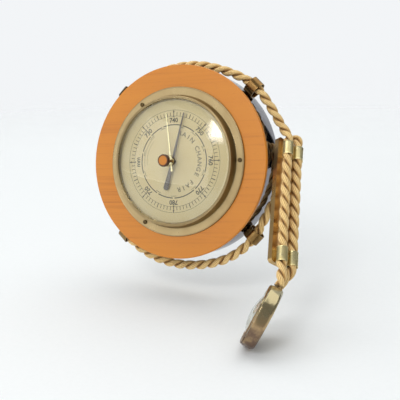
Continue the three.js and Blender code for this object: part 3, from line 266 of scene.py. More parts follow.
def metal(name, colour, dull, roughness, spots=0.35, spot_scale=90, brushed=0.0):
    """A metal whose polish is clouded by handling: a duller colour and a rougher bloom in patches."""
    material, tree, surface = shader(name, {"Metallic": 1.0})
    where = node(tree, "TexCoord").outputs["Object"]
    cloud = node(tree, "TexNoise", {"Scale": spot_scale, "Detail": 4, "Roughness": 0.6},
                 {"Vector": where}).outputs["Fac"]
    patches = node(tree, "ValToRGB", None, {"Fac": cloud}, stops=[
        (0.4, (*colour, 1)), (0.4 + spots, (*dull, 1))]).outputs["Color"]
    tree.links.new(patches, surface.inputs["Base Color"])
    haze = node(tree, "MapRange", {"From Min": 0.3, "From Max": 0.7, "To Min": roughness * 0.75,
                                   "To Max": roughness * 1.3}, {"Value": cloud}).outputs[0]
    tree.links.new(haze, surface.inputs["Roughness"])
    if brushed:
        scratch = node(tree, "TexNoise", {"Scale": 2600, "Detail": 2}, {"Vector": where}).outputs["Fac"]
        bump = node(tree, "Bump", {"Strength": brushed, "Distance": 0.00005}, {"Height": scratch})
        tree.links.new(bump.outputs[0], surface.inputs["Normal"])
    return material


def tarnished_brass(aged):
    """Thin spun brass of the hygrometer: soft dents 12 mm across, and a colour that turns darker
    and red-brown from its middle towards the end away from the rope."""
    material, tree, surface = shader("tarnished_brass", {"Metallic": 1.0})
    place = own_coordinates(tree, HYGROMETER, (1000, 1000, 1000))
    cloud = node(tree, "TexNoise", {"Scale": 0.11, "Detail": 4, "Roughness": 0.6},
                 {"Vector": place}).outputs["Fac"]
    # The colour turns darker and red-brown from the middle towards the end away from the rope's mouth, in
    # clouds
    upward = node(tree, "SeparateXYZ", None, {"Vector": place}).outputs["Y"]
    height = node(tree, "MapRange", {"From Min": -24.0, "From Max": 20.0}, {"Value": upward}).outputs[0]
    level = node(tree, "Math", None, {0: height, 1: cloud}, operation="ADD").outputs[0]
    share = node(tree, "Math", {1: 0.5}, {0: level}, operation="MULTIPLY").outputs[0]
    tone = node(tree, "ValToRGB", None, {"Fac": share}, stops=[
        (0.28, srgb("#7a6455")), (0.4, srgb("#b79c74")), (0.56, (*aged, 1))]).outputs["Color"]
    tree.links.new(tone, surface.inputs["Base Color"])
    haze = node(tree, "MapRange", {"From Min": 0.3, "From Max": 0.6, "To Min": 0.38, "To Max": 0.22},
                {"Value": share}).outputs[0]
    tree.links.new(haze, surface.inputs["Roughness"])
    dents = node(tree, "TexNoise", {"Scale": 0.08, "Detail": 0}, {"Vector": place}).outputs["Fac"]
    bump = node(tree, "Bump", {"Strength": 1.0, "Distance": 0.0045}, {"Height": dents})
    tree.links.new(bump.outputs[0], surface.inputs["Normal"])
    return material


def copper_faced_knob():
    """Turned knob: bright copper in the dished face, and a rim of dark brown past 4 mm from the
    axis."""
    material, tree, surface = shader("copper_faced_knob", {"Metallic": 1.0, "Roughness": 0.3})
    place = own_coordinates(tree, BAROMETER, (1000, 1000, 0))
    out = node(tree, "VectorMath", None, {0: place}, operation="LENGTH").outputs["Value"]
    rub = node(tree, "TexNoise", {"Scale": 1.2, "Detail": 3}, {"Vector": place}).outputs["Fac"]
    worn = node(tree, "Math", None, {0: out, 1: rub}, operation="ADD").outputs[0]
    share = node(tree, "Math", {1: 8.0}, {0: worn}, operation="DIVIDE").outputs[0]
    tone = node(tree, "ValToRGB", None, {"Fac": share}, stops=[
        (0.5, srgb("#b0743c")), (0.6, srgb("#5e463c"))]).outputs["Color"]
    tree.links.new(tone, surface.inputs["Base Color"])
    return material


def window_glass(name, tint="#f4f7f4"):
    """Clear soda glass: sharp reflections, and lamps shine through it onto what it covers."""
    material, tree, surface = shader(name, {
        "Base Color": srgb(tint), "Roughness": 0.02, "IOR": 1.5, "Transmission Weight": 1.0})
    passing = node(tree, "BsdfTransparent", {"Color": srgb(tint)}).outputs[0]
    shadow = node(tree, "LightPath").outputs["Is Shadow Ray"]
    both = node(tree, "MixShader", None, {0: shadow, 1: surface.outputs[0], 2: passing}).outputs[0]
    tree.links.new(both, tree.nodes["Material Output"].inputs["Surface"])
    return material


def printed_metal(name, finish, yellowing=0.5):
    """Aluminium dial sprayed champagne: a fine metallic speckle, yellowed a little in clouds."""
    material, tree, surface = shader(name, {"Metallic": 0.15, "Roughness": 0.5})
    where = node(tree, "TexCoord").outputs["Object"]
    cloud = node(tree, "TexNoise", {"Scale": 28, "Detail": 3}, {"Vector": where}).outputs["Fac"]
    paint = tuple(finish.dial)
    aged = tuple(c * k for c, k in zip(paint, (0.95, 0.9, 0.74)))
    tone = node(tree, "ValToRGB", None, {"Fac": cloud}, stops=[
        (0.35, (*paint, 1)), (0.35 + yellowing, (*aged, 1))]).outputs["Color"]
    tree.links.new(tone, surface.inputs["Base Color"])
    speckle = node(tree, "TexNoise", {"Scale": 3000, "Detail": 1}, {"Vector": where}).outputs["Fac"]
    bump = node(tree, "Bump", {"Strength": 0.06, "Distance": 0.00005}, {"Height": speckle})
    tree.links.new(bump.outputs[0], surface.inputs["Normal"])
    return material


def printing_ink(name, hex_code):
    """Silk-screened ink: matt, with a faint unevenness in its cover."""
    material, tree, surface = shader(name, {"Roughness": 0.7})
    where = node(tree, "TexCoord").outputs["Object"]
    cover = node(tree, "TexNoise", {"Scale": 900, "Detail": 2}, {"Vector": where}).outputs["Fac"]
    ink = srgb(hex_code)
    worn = tuple(min(1, c * 1.6 + 0.02) for c in ink[:3])
    tone = node(tree, "ValToRGB", None, {"Fac": cover}, stops=[(0.45, ink), (0.75, (*worn, 1))])
    tree.links.new(tone.outputs["Color"], surface.inputs["Base Color"])
    return material


def laid_hemp(finish):
    """Two-strand hemp rope: fine yarns round each strand, lighter on their crowns and darkened by
    painted shade down in the groove between the strands."""
    material, tree, surface = shader("laid_hemp", {
        "Roughness": 0.85, "Sheen Weight": 0.15, "Sheen Roughness": 0.5, "Specular IOR Level": 0.25})
    around = node(tree, "UVMap", uv_map="strand").outputs[0]
    yarns = node(tree, "TexWave", {"Scale": 3.5, "Distortion": 1.6, "Detail": 2, "Detail Scale": 1.5},
                 {"Vector": node(tree, "Mapping", {"Scale": (1, 0.08, 1)}, {"Vector": around}).outputs[0]},
                 wave_type="BANDS", bands_direction="X").outputs["Fac"]
    fibres = node(tree, "TexNoise", {"Scale": 1.0, "Detail": 4, "Roughness": 0.7},
                  {"Vector": node(tree, "Mapping", {"Scale": (60, 2.5, 1)}, {"Vector": around}).outputs[0]},
                  ).outputs["Fac"]
    patches = node(tree, "TexNoise", {"Scale": 130, "Detail": 2},
                   {"Vector": node(tree, "TexCoord").outputs["Object"]}).outputs["Fac"]
    half = node(tree, "Math", {1: 0.5}, {0: yarns}, operation="MULTIPLY").outputs[0]
    fine = node(tree, "Math", {1: 0.35}, {0: fibres}, operation="MULTIPLY").outputs[0]
    broad = node(tree, "Math", {1: 0.3}, {0: patches}, operation="MULTIPLY").outputs[0]
    upper = node(tree, "Math", None, {0: half, 1: fine}, operation="ADD").outputs[0]
    tone = node(tree, "Math", None, {0: upper, 1: broad}, operation="ADD").outputs[0]
    straw = tuple(finish.rope)
    shade = tuple(c * k for c, k in zip(straw, (0.55, 0.46, 0.36)))
    crown = tuple(min(1, c * k) for c, k in zip(straw, (1.2, 1.24, 1.35)))
    colour = node(tree, "ValToRGB", None, {"Fac": tone}, stops=[
        (0.3, (*shade, 1)), (0.5, (*straw, 1)), (0.78, (*crown, 1))]).outputs["Color"]
    # Painted shade: each strand's colour is darkened towards the groove between the strands, where the crown
    # attribute falls to 0
    crown_side = node(tree, "Attribute", attribute_name="crown").outputs["Fac"]
    groove_shade = node(tree, "ValToRGB", None, {"Fac": crown_side}, stops=[
        (0.08, (0.46, 0.35, 0.23, 1)), (0.34, (0.8, 0.71, 0.6, 1)), (0.54, (1, 1, 1, 1))]).outputs["Color"]
    groove_shaded = node(tree, "Mix", {"Factor": 1.0}, {"A": colour, "B": groove_shade},
                  data_type="RGBA", blend_type="MULTIPLY").outputs["Result"]
    tree.links.new(groove_shaded, surface.inputs["Base Color"])
    relief = node(tree, "Math", None, {0: yarns, 1: fibres}, operation="ADD").outputs[0]
    bump = node(tree, "Bump", {"Strength": 0.8, "Distance": 0.00025}, {"Height": relief})
    tree.links.new(bump.outputs[0], surface.inputs["Normal"])
    return material


def hardboard():
    """Pressed hardboard: matt brown fibres, mottled."""
    material, tree, surface = shader("hardboard", {"Roughness": 0.9, "Specular IOR Level": 0.2})
    where = node(tree, "TexCoord").outputs["Object"]
    fibre = node(tree, "TexNoise", {"Scale": 700, "Detail": 5, "Roughness": 0.7},
                 {"Vector": where}).outputs["Fac"]
    tone = node(tree, "ValToRGB", None, {"Fac": fibre}, stops=[
        (0.35, srgb("#3f2d1f")), (0.5, srgb("#5b4531")), (0.68, srgb("#78603f"))])
    tree.links.new(tone.outputs["Color"], surface.inputs["Base Color"])
    bump = node(tree, "Bump", {"Strength": 0.3, "Distance": 0.0001}, {"Height": fibre})
    tree.links.new(bump.outputs[0], surface.inputs["Normal"])
    return material


def red_spirit():
    """Dyed spirit in a glass bore: a wet, deep red."""
    material, tree, surface = shader("red_spirit", {"Roughness": 0.12, "Coat Weight": 0.5})
    where = node(tree, "TexCoord").outputs["Object"]
    depth = node(tree, "TexNoise", {"Scale": 120}, {"Vector": where}).outputs["Fac"]
    tone = node(tree, "ValToRGB", None, {"Fac": depth}, stops=[
        (0.3, srgb("#8e1712")), (0.7, srgb("#b3271d"))])
    tree.links.new(tone.outputs["Color"], surface.inputs["Base Color"])
    return material


def studio_paper(name, hex_code):
    """Matt seamless paper with a barely visible tooth."""
    material, tree, surface = shader(name, {"Roughness": 0.95, "Specular IOR Level": 0.1})
    where = node(tree, "TexCoord").outputs["Object"]
    tooth = node(tree, "TexNoise", {"Scale": 300}, {"Vector": where}).outputs["Fac"]
    paper = srgb(hex_code)
    tone = node(tree, "ValToRGB", None, {"Fac": tooth}, stops=[
        (0.3, tuple(c * 0.985 for c in paper[:3]) + (1,)), (0.7, paper)])
    tree.links.new(tone.outputs["Color"], surface.inputs["Base Color"])
    return material


def seamless_paper(hex_code):
    """Matt paper that the camera sees only near the object: from 0.7 m to 1.5 m away it fades into
    the white world behind it, while lamps and polished metal see all of it."""
    material = studio_paper("seamless_paper", hex_code)
    tree = material.node_tree
    where = node(tree, "TexCoord").outputs["Object"]
    away = node(tree, "VectorMath", None, {0: where}, operation="LENGTH").outputs["Value"]
    fade = node(tree, "MapRange", {"From Min": 0.7, "From Max": 1.5}, {"Value": away},
                interpolation_type="SMOOTHSTEP").outputs[0]
    seen = node(tree, "LightPath").outputs["Is Camera Ray"]
    share = node(tree, "Math", None, {0: fade, 1: seen}, operation="MULTIPLY").outputs[0]
    clear = node(tree, "BsdfTransparent").outputs[0]
    both = node(tree, "MixShader", None,
                {0: share, 1: tree.nodes["Principled BSDF"].outputs[0], 2: clear}).outputs[0]
    tree.links.new(both, tree.nodes["Material Output"].inputs["Surface"])
    return material


def finishes():
    """Every finish of the object, made once and kept by name."""
    if "laid_hemp" in bpy.data.materials:
        return bpy.data.materials
    colours = bpy.context.scene.barometer_finish
    brass, aged = tuple(colours.brass), tuple(colours.aged_brass)
    brown = tuple(c * k for c, k in zip(brass, (0.84, 0.77, 0.7)))
    umber = tuple(c * k for c, k in zip(aged, (0.62, 0.48, 0.4)))
    stained_beech(colours)
    metal("lacquered_brass", brass, brown, 0.3, 0.5, 40)
    metal("handled_brass", aged, umber, 0.22, 0.35, 110)
    metal("screw_brass", srgb("#6d5c3f")[:3], srgb("#45382a")[:3], 0.4, 0.35, 300)
    metal("bar_brass", srgb("#c9aa74")[:3], srgb("#ae8862")[:3], 0.3, 0.45, 70)
    metal("ferrule_brass", srgb("#e6d8a4")[:3], srgb("#d2bf82")[:3], 0.3, 0.4, 150)
    metal("bright_brass", srgb("#f3e8c2")[:3], srgb("#e6d6a0")[:3], 0.2, 0.4, 200)
    metal("turned_brass", srgb("#c0a259")[:3], srgb("#9a7f45")[:3], 0.28, 0.4, 200, 0.1)
    metal("chromed_steel", srgb("#87858a")[:3], srgb("#76737a")[:3], 0.08, 0.6, 45)
    metal("plain_steel", srgb("#8b8d8f")[:3], srgb("#6f7073")[:3], 0.35, 0.4, 160, 0.15)
    metal("blued_steel", srgb("#4c4a4a")[:3], srgb("#33323a")[:3], 0.32, 0.4, 200)
    metal("blackened_steel", srgb("#6d6560")[:3], srgb("#57504c")[:3], 0.42, 0.4, 200)
    tarnished_brass(srgb("#aa9e7a")[:3])
    copper_faced_knob()
    window_glass("dial_glass")
    window_glass("hygrometer_glass")
    window_glass("tube_glass")
    printed_metal("champagne_dial", colours)
    printing_ink("dial_ink", "#3a3029")
    printing_ink("faint_ink", "#71624a")
    laid_hemp(colours)
    hardboard()
    red_spirit()
    return bpy.data.materials


def piece(name, grids, finish, body, replaces=(), uvs=None, sharp=36, crowns=None):
    """One mesh from grids of points in metres, each with its wraps, closed and facing outwards."""
    points, quads, corners, start = [], [], [], 0
    for i, (grid, wrap_rows, wrap_columns) in enumerate(grids):
        rows, columns = grid.shape[:2]
        index = start + np.arange(rows * columns).reshape(rows, columns)
        r = np.arange(rows if wrap_rows else rows - 1)
        c = np.arange(columns if wrap_columns else columns - 1)
        near, far = index[r][:, c], index[(r + 1) % rows][:, c]
        right, far_right = index[r][:, (c + 1) % columns], index[(r + 1) % rows][:, (c + 1) % columns]
        quads.append(np.stack([near, right, far_right, far], -1).reshape(-1, 4))
        points.append(grid.reshape(-1, 3))
        start += rows * columns
        if uvs is not None:
            corners.append(uvs[i](r[:, None], c[None, :]))
    mesh = bpy.data.meshes.new(name)
    vertices, faces = np.concatenate(points), np.concatenate(quads)
    mesh.vertices.add(len(vertices))
    mesh.vertices.foreach_set("co", vertices.astype(np.float32).ravel())
    mesh.loops.add(faces.size)
    mesh.loops.foreach_set("vertex_index", faces.astype(np.int32).ravel())
    mesh.polygons.add(len(faces))
    mesh.polygons.foreach_set("loop_start", np.arange(0, faces.size, 4, dtype=np.int32))
    mesh.polygons.foreach_set("loop_total", np.full(len(faces), 4, dtype=np.int32))
    mesh.update(calc_edges=True)
    if uvs is not None:
        layer = mesh.uv_layers.new(name="strand")
        layer.data.foreach_set("uv", np.concatenate(corners).astype(np.float32).ravel())
    if crowns is not None:
        mesh.attributes.new("crown", "FLOAT", "POINT").data.foreach_set("value", crowns.astype(np.float32))
    return settled(name, mesh, finish, body, replaces, sharp)


def settled(name, mesh, finish, body, replaces=(), sharp=36):
    """Merges doubles, turns faces outwards, smooths round curves, and seats the piece on its body."""
    cleaned = bmesh.new()
    cleaned.from_mesh(mesh)
    bmesh.ops.remove_doubles(cleaned, verts=cleaned.verts, dist=WELD)
    bmesh.ops.dissolve_degenerate(cleaned, edges=cleaned.edges, dist=SLIVER)
    bmesh.ops.recalc_face_normals(cleaned, faces=cleaned.faces)
    cleaned.to_mesh(mesh)
    cleaned.free()
    mesh.shade_smooth()
    mesh.set_sharp_from_angle(angle=math.radians(sharp))
    mesh.materials.append(finishes()[finish])
    made = bpy.data.objects.new(name, mesh)
    bpy.context.scene.collection.objects.link(made)
    if body:
        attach(made, body)
    if replaces:
        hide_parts(*replaces)
    return made


def carve(target, cutters):
    """Cuts closed meshes out of a piece and deletes them, keeping the piece's place and riders."""
    for cutter in cutters:
        cut = target.modifiers.new("cut", "BOOLEAN")
        cut.operation, cut.solver, cut.object = "DIFFERENCE", "EXACT", cutter
    bpy.context.view_layer.update()
    carved = bpy.data.meshes.new_from_object(target.evaluated_get(bpy.context.evaluated_depsgraph_get()))
    target.modifiers.clear()
    kept_name, old = target.data.name, target.data
    target.data = carved
    bpy.data.meshes.remove(old)
    carved.name = kept_name
    carved.shade_smooth()
    carved.set_sharp_from_angle(angle=math.radians(36))
    for cutter in cutters:
        bpy.data.objects.remove(cutter)
    return target


def eased(profile, radius=0.3, steps=4):
    """A closed outline whose corners are rounded: each corner is a parabola between two points set
    back from it along its edges by the radius, or by 45% of a shorter edge."""
    corner = np.asarray(profile, float)
    before, after = np.roll(corner, 1, 0) - corner, np.roll(corner, -1, 0) - corner
    lengths = [np.linalg.norm(edge, axis=1, keepdims=True) for edge in (before, after)]
    wanted = np.broadcast_to(np.reshape(radius, (-1, 1)), (len(corner), 1))
    back = np.minimum(wanted, 0.45 * np.minimum(*lengths))
    back = np.where(corner[:, :1] == 0, 0, back)
    first, last = corner + before * back / lengths[0], corner + after * back / lengths[1]
    t = np.linspace(0, 1, steps)[:, None, None]
    curve = (1 - t) ** 2 * first + 2 * t * (1 - t) * corner + t**2 * last
    return curve.transpose(1, 0, 2).reshape(-1, 2)


def turned(profile, placed, segments=160, at=(0, 0, 0)):
    """A closed profile of (radius, height) turned a full circle about the frame's Z axis."""
    r, z = np.asarray(profile, float).T
    a = np.linspace(0, 2 * np.pi, segments, endpoint=False)
    level = np.broadcast_to(z[:, None], (len(r), segments))
    ring = np.stack([r[:, None] * np.cos(a), r[:, None] * np.sin(a), level], -1)
    return to_row(ring + np.asarray(at), placed), True, True


def cap(rim, rim_z, rise, hole, steps=24):
    """Part of a circle from the rim up to a hole round the axis, for a domed glass."""
    radius = (rim**2 + rise**2) / (2 * rise)
    r = np.linspace(rim, hole, steps)
    return np.stack([r, rim_z + rise - radius + np.sqrt(radius**2 - r**2)], -1)


def round_box_loop(width, height, corner, inset=0.0, steps=8):
    """Points round a rectangle with round corners, moved inwards by an inset, anticlockwise."""
    x, y = width / 2 - inset, height / 2 - inset
    r = min(max(corner - inset, 0.02), x, y)
    a = np.radians(np.linspace(0, 90, steps))
    quarter = np.stack([np.cos(a), np.sin(a)], -1) * r
    back = quarter[::-1]
    corners = [(1, 1, quarter), (-1, 1, back * (-1, 1)), (-1, -1, -quarter), (1, -1, back * (1, -1))]
    return np.concatenate([np.array([sx * (x - r), sy * (y - r)]) + q for sx, sy, q in corners])


def at_height(loop, z):
    """A flat outline's points, all at one height."""
    return np.column_stack([loop, np.full(len(loop), z)])


def tray(profile, width, height, corner, placed, at):
    """A closed profile of (inset, height) carried round a rectangle with round corners."""
    rows = [at_height(round_box_loop(width, height, corner, inset), z) for inset, z in profile]
    return to_row(np.stack(rows) + np.asarray(at), placed), True, True


def disc_profile(radius, low, high, hole=0.0):
    """The closed outline of a disc or, with a hole, of a ring."""
    return [(hole, low), (radius, low), (radius, high), (hole, high)]


def slotted_screw(name, placed, at, head, shank, body, finish, replaces, slot_turn):
    """A screw: a shank under a head of the outline given, and a sawn slot across the head."""
    profile = [(0, -shank), (SHANK_R, -shank), *head]
    screw = piece(name, [turned(eased(profile, 0.2), placed, 40, at)], finish, body, replaces)
    turn = turned_frame(placed, at, (0, 0, slot_turn))
    reach, top = max(r for r, _ in head) + 1, head[-1][1]
    cutter = box_cutter(turn, (-reach, -SLOT_W / 2, top - SLOT_DEPTH), (reach, SLOT_W / 2, top + 1))
    return carve(screw, [cutter])


def box_cutter(placed, low, high):
    """A closed box in a frame, used only to cut."""
    x, y = np.array([low[0], high[0], high[0], low[0]]), np.array([low[1], low[1], high[1], high[1]])
    loops = np.stack([np.stack([x, y, np.full(4, z)], -1) for z in (low[2], high[2])])
    centre = loops.mean(axis=1, keepdims=True).repeat(4, axis=1)
    grid = np.concatenate([centre[:1], loops, centre[1:]])
    return piece("cutter", [(to_row(grid, placed), False, True)], "plain_steel", None)


def round_cutter(placed, at, profile):
    """A closed turned shape, used only to cut."""
    return piece("cutter", [turned(profile, placed, 48, at)], "plain_steel", None)


def build_wooden_face():
    """Wooden face: a flat ring with its two outer edges rounded."""
    ring = eased(disc_profile(PANEL_R, PANEL_BACK, PANEL_FRONT, PANEL_HOLE_R), [0.2, 1.0, 1.3, 0.3], 6)
    piece("wooden_face", [turned(ring, BAROMETER, 220)], "stained_beech", "barometer",
          ["front_panel"])


def build_drum():
    """Drum: a spun shell, its back corner a quarter circle, its front turned in as a lip."""
    a = np.radians(np.linspace(-90, 0, 10))
    corner = np.stack([np.cos(a), np.sin(a)], -1)
    middle = np.array([DRUM_R - DRUM_CORNER, DRUM_BACK + DRUM_CORNER])
    under_lip = DRUM_FRONT - DRUM_WALL
    outline = np.concatenate([
        [(DRUM_OPENING_R, DRUM_BACK)], middle + DRUM_CORNER * corner,
        [(DRUM_R, DRUM_FRONT), (DRUM_LIP_R, DRUM_FRONT)],
        [(DRUM_LIP_R, under_lip), (DRUM_R - DRUM_WALL, under_lip)],
        middle + (DRUM_CORNER - DRUM_WALL) * corner[::-1], [(DRUM_OPENING_R, DRUM_BACK + DRUM_WALL)]])
    piece("drum", [turned(eased(outline, 0.35, 3), BAROMETER, 220)], "chromed_steel", "barometer",
          ["drum_shell"])


def build_back():
    """Back cover: a flat disc with an opening over the adjusting screw, and two screws sunk in cones."""
    cover = piece("back_board", [turned(eased(disc_profile(COVER_R, 0, COVER_T), 0.4), BAROMETER, 128)],
                  "hardboard", "barometer", ["back_cover"])
    behind = turned_frame(BAROMETER, (0, 0, 0), (180, 0, 0))
    mouth = BACK_SCREW_HEAD_R + 0.42
    cone = [(0, -3), (1.5, -3), (1.5, -BACK_SCREW_SINK + 1.5 - mouth), (mouth, -BACK_SCREW_SINK),
            (mouth, 1), (0, 1)]
    holes = [round_cutter(BAROMETER, (ADJUST_X, 0, 0), disc_profile(4, -1, 3))]
    holes += [round_cutter(behind, on_circle(BACK_SCREW_R, a), cone) for a in (90, 270)]
    carve(cover, holes)
    sunk = [(SHANK_R, SHANK_R - BACK_SCREW_HEAD_R - BACK_SCREW_SINK), (BACK_SCREW_HEAD_R, -BACK_SCREW_SINK),
            (0, -BACK_SCREW_SINK)]
    for i, angle in enumerate((-90, 90)):
        slotted_screw(f"back_screw_{i + 1}", behind, on_circle(BACK_SCREW_R, angle), sunk, 6, "barometer",
                      "plain_steel", [f"back_cover_screw_{i + 1}"], 25 + 70 * i)


def build_bezel():
    """Bezel: a flat flange with a beaded rim, a wall that slopes up to a narrow round brow, a groove,
    and the rolled bead that holds the glass. Beads and brow are arcs of circles."""
    edge = np.radians(np.linspace(0, 110, 7))
    rim = np.stack([BEZEL_R - 0.6 + 0.6 * np.cos(edge), BEZEL_FLANGE - 0.55 + 0.6 * np.sin(edge)], -1)
    brow = np.radians(np.linspace(15, 100, 9))
    shoulder = np.stack([BEZEL_RING_R - 3.4 + 1.0 * np.cos(brow), BEZEL_BROW - 1.5 + 1.0 * np.sin(brow)], -1)
    bead = np.radians(np.linspace(10, 160, 9))
    roll = np.stack([LIP_R + 0.7 + 0.6 * np.cos(bead), BEZEL_BROW - 0.9 + 0.6 * np.sin(bead)], -1)
    outline = np.concatenate([
        [(BEZEL_R, BEZEL_FOOT)], rim,
        [(BEZEL_R - 1.2, BEZEL_FLANGE - 0.15), (BEZEL_RING_R - 0.6, BEZEL_FLANGE - 0.15),
         (BEZEL_RING_R - 1.1, BEZEL_FLANGE + 0.3), (BEZEL_RING_R - 1.6, BEZEL_FLANGE + 2),
         (BEZEL_RING_R - 2.1, BEZEL_FLANGE + 4.4)],
        shoulder, roll,
        [(LIP_R, LIP_Z), (CRYSTAL_R + 0.4, LIP_Z), (CRYSTAL_R + 0.4, LIP_Z - 1.5),
         (CRYSTAL_R + 0.6, BEZEL_FOOT + 2.7), (BEZEL_RING_R - 2, BEZEL_FOOT + 1),
         (BEZEL_RING_R - 2, BEZEL_FOOT)],
    ])
    piece("brass_bezel", [turned(eased(outline, 0.15, 3), BAROMETER, 256)], "lacquered_brass", "barometer",
          ["bezel"])
    head = [(SHANK_R, 0), (1.9, 0), (1.9, 0.6), (1.4, 1.1), (0, 1.2)]
    for i, angle in enumerate(BEZEL_SCREW_ANGLES):
        at = on_circle(BEZEL_SCREW_R, angle, BEZEL_FLANGE)
        slotted_screw(f"face_screw_{i + 1}", BAROMETER, at, head, 3, "barometer", "screw_brass",
                      [f"bezel_screw_{i + 1}"], 20 + 55 * i)


def build_glass():
    """Glass: a spherical cap of even thickness on a flat rim, bored for the set hand's stem."""
    rim, top = LIP_R - 0.5, CRYSTAL_EDGE + CRYSTAL_T
    outer = cap(rim, top, CRYSTAL_RISE, CRYSTAL_BORE_R)[::-1]
    inner = cap(rim - 0.4, CRYSTAL_EDGE, CRYSTAL_RISE, CRYSTAL_BORE_R)
    profile = np.concatenate([outer, [(CRYSTAL_R, top), (CRYSTAL_R, CRYSTAL_EDGE)], inner])
    piece("domed_glass", [turned(profile, BAROMETER, 160)], "dial_glass", "barometer",
          ["crystal"], sharp=50)
    sight = [(SIGHT_R, SIGHT_BACK), (CRYSTAL_R, SIGHT_BACK), (CRYSTAL_R, SIGHT_FRONT),
             (SIGHT_R + 1.6, SIGHT_FRONT), (SIGHT_R, SIGHT_BACK + 0.3)]
    piece("sight_rim", [turned(eased(sight, 0.1), BAROMETER, 160)], "lacquered_brass", "barometer",
          ["sight_ring"])


def build_knob():
    """Set knob: a stem, a waist, a knurled skirt whose radius ripples round it, and a dished top."""
    foot = DOME_TOP + 1.5
    top = foot + KNOB_H
    outline = eased([(0, STEM_BACK), (STEM_R, STEM_BACK), (STEM_R, foot), (KNOB_R - 1.4, foot),
                     (KNOB_R - 1.3, foot + 1), (KNOB_R, foot + 1.7), (KNOB_R, top - 0.9),
                     (KNOB_R - 0.7, top - 0.05), (KNOB_R - 1.2, top - 0.2), (0, top - 0.55)], 0.25)
    segments = 192
    grid, wrap_rows, wrap_columns = turned(outline, np.eye(4), segments)
    knurl = np.clip((outline[:, 0] - (KNOB_R - 0.3)) / 0.3, 0, 1)[:, None]
    a = np.linspace(0, 2 * np.pi, segments, endpoint=False)
    shrink = 1 - KNURL_DEPTH * knurl * (1 + np.cos(KNURLS * a))
    grid[..., :2] *= shrink[..., None]
    piece("set_knob_turned", [(to_row(grid / MM, BAROMETER), wrap_rows, wrap_columns)], "copper_faced_knob",
          "set_hand", ["set_knob"])
    base = DOME_TOP - CRYSTAL_T - 0.5
    bush = [(STEM_R + 0.3, base), (CRYSTAL_BORE_R - 0.3, base), (CRYSTAL_BORE_R - 0.3, DOME_TOP + 0.3),
            (STEM_R + 2.2, DOME_TOP + 0.3), (STEM_R + 1.8, DOME_TOP + 0.9), (STEM_R + 0.3, DOME_TOP + 0.9)]
    piece("stem_bush", [turned(eased(bush, 0.12), BAROMETER, 64)], "lacquered_brass", "barometer",
          ["crystal_bush"])


def printing(name, bars, lettering, placed, plate, thickness, body, finish="dial_ink"):
    """Printing on a plate: bars, each (start, end, half width), and letters, each (text, size, x, y,
    turn), raised by their ink."""
    ink = bmesh.new()
    z = plate + INK_LIFT
    for start, end, half in bars:
        start, end = np.array(start, float), np.array(end, float)
        side = np.array([start[1] - end[1], end[0] - start[0]])
        side *= half / np.linalg.norm(side)
        loop = np.array([start - side, end - side, end + side, start + side])
        low, high = ([ink.verts.new(p) for p in to_row(at_height(loop, level), placed)]
                     for level in (z, z + thickness))
        ink.faces.new(high)
        ink.faces.new(low[::-1])
        for i in range(4):
            ink.faces.new([low[i], low[(i + 1) % 4], high[(i + 1) % 4], high[i]])
    for text, size, x, y, turn in lettering:
        letters = text_mesh(text, size, thickness)
        place = turned_frame(placed, (x, y, z + thickness / 2), (0, 0, turn))
        coordinates = np.empty(len(letters.vertices) * 3, np.float32)
        letters.vertices.foreach_get("co", coordinates)
        moved = to_row(coordinates.reshape(-1, 3), place)
        letters.vertices.foreach_set("co", moved.astype(np.float32).ravel())
        ink.from_mesh(letters)
        bpy.data.meshes.remove(letters)
    mesh = bpy.data.meshes.new(name)
    ink.to_mesh(mesh)
    ink.free()
    mesh.materials.append(finishes()[finish])
    printed = bpy.data.objects.new(name, mesh)
    bpy.context.scene.collection.objects.link(printed)
    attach(printed, body)


def text_mesh(text, size, thickness):
    """A word as a closed mesh in millimetres, centred on its own middle."""
    curve = bpy.data.curves.new("letters", "FONT")
    curve.body, curve.size, curve.extrude, curve.offset = text, size, thickness / 2, LETTER_BOLD * size
    curve.align_x, curve.align_y, curve.resolution_u = "CENTER", "CENTER", 3
    holder = bpy.data.objects.new("letters", curve)
    bpy.context.scene.collection.objects.link(holder)
    bpy.context.view_layer.update()
    mesh = bpy.data.meshes.new_from_object(holder.evaluated_get(bpy.context.evaluated_depsgraph_get()))
    bpy.data.objects.remove(holder)
    bpy.data.curves.remove(curve)
    return mesh


def circle_bars(radius, half, start=0, end=360, step=3):
    """Short bars end to end along an arc, with clock angles from the frame's Y axis."""
    a = np.arange(start, end + 0.01, step)
    points = on_circle(radius, 90 - a)[:, :2]
    return [(p, q, half) for p, q in zip(points[:-1], points[1:])]


def clock(radius, degrees):
    """A point of a dial at a clock angle, from its Y axis towards its X axis."""
    return on_circle(radius, 90 - degrees)[:2]


def arc_word(word, radius, middle, size, pitch):
    """A word's letters one by one round the dial, their tops outwards."""
    first = middle - pitch * (len(word) - 1) / 2
    angles = [first + pitch * i for i in range(len(word))]
    return [(letter, size, *clock(radius, a), -a) for letter, a in zip(word, angles)]


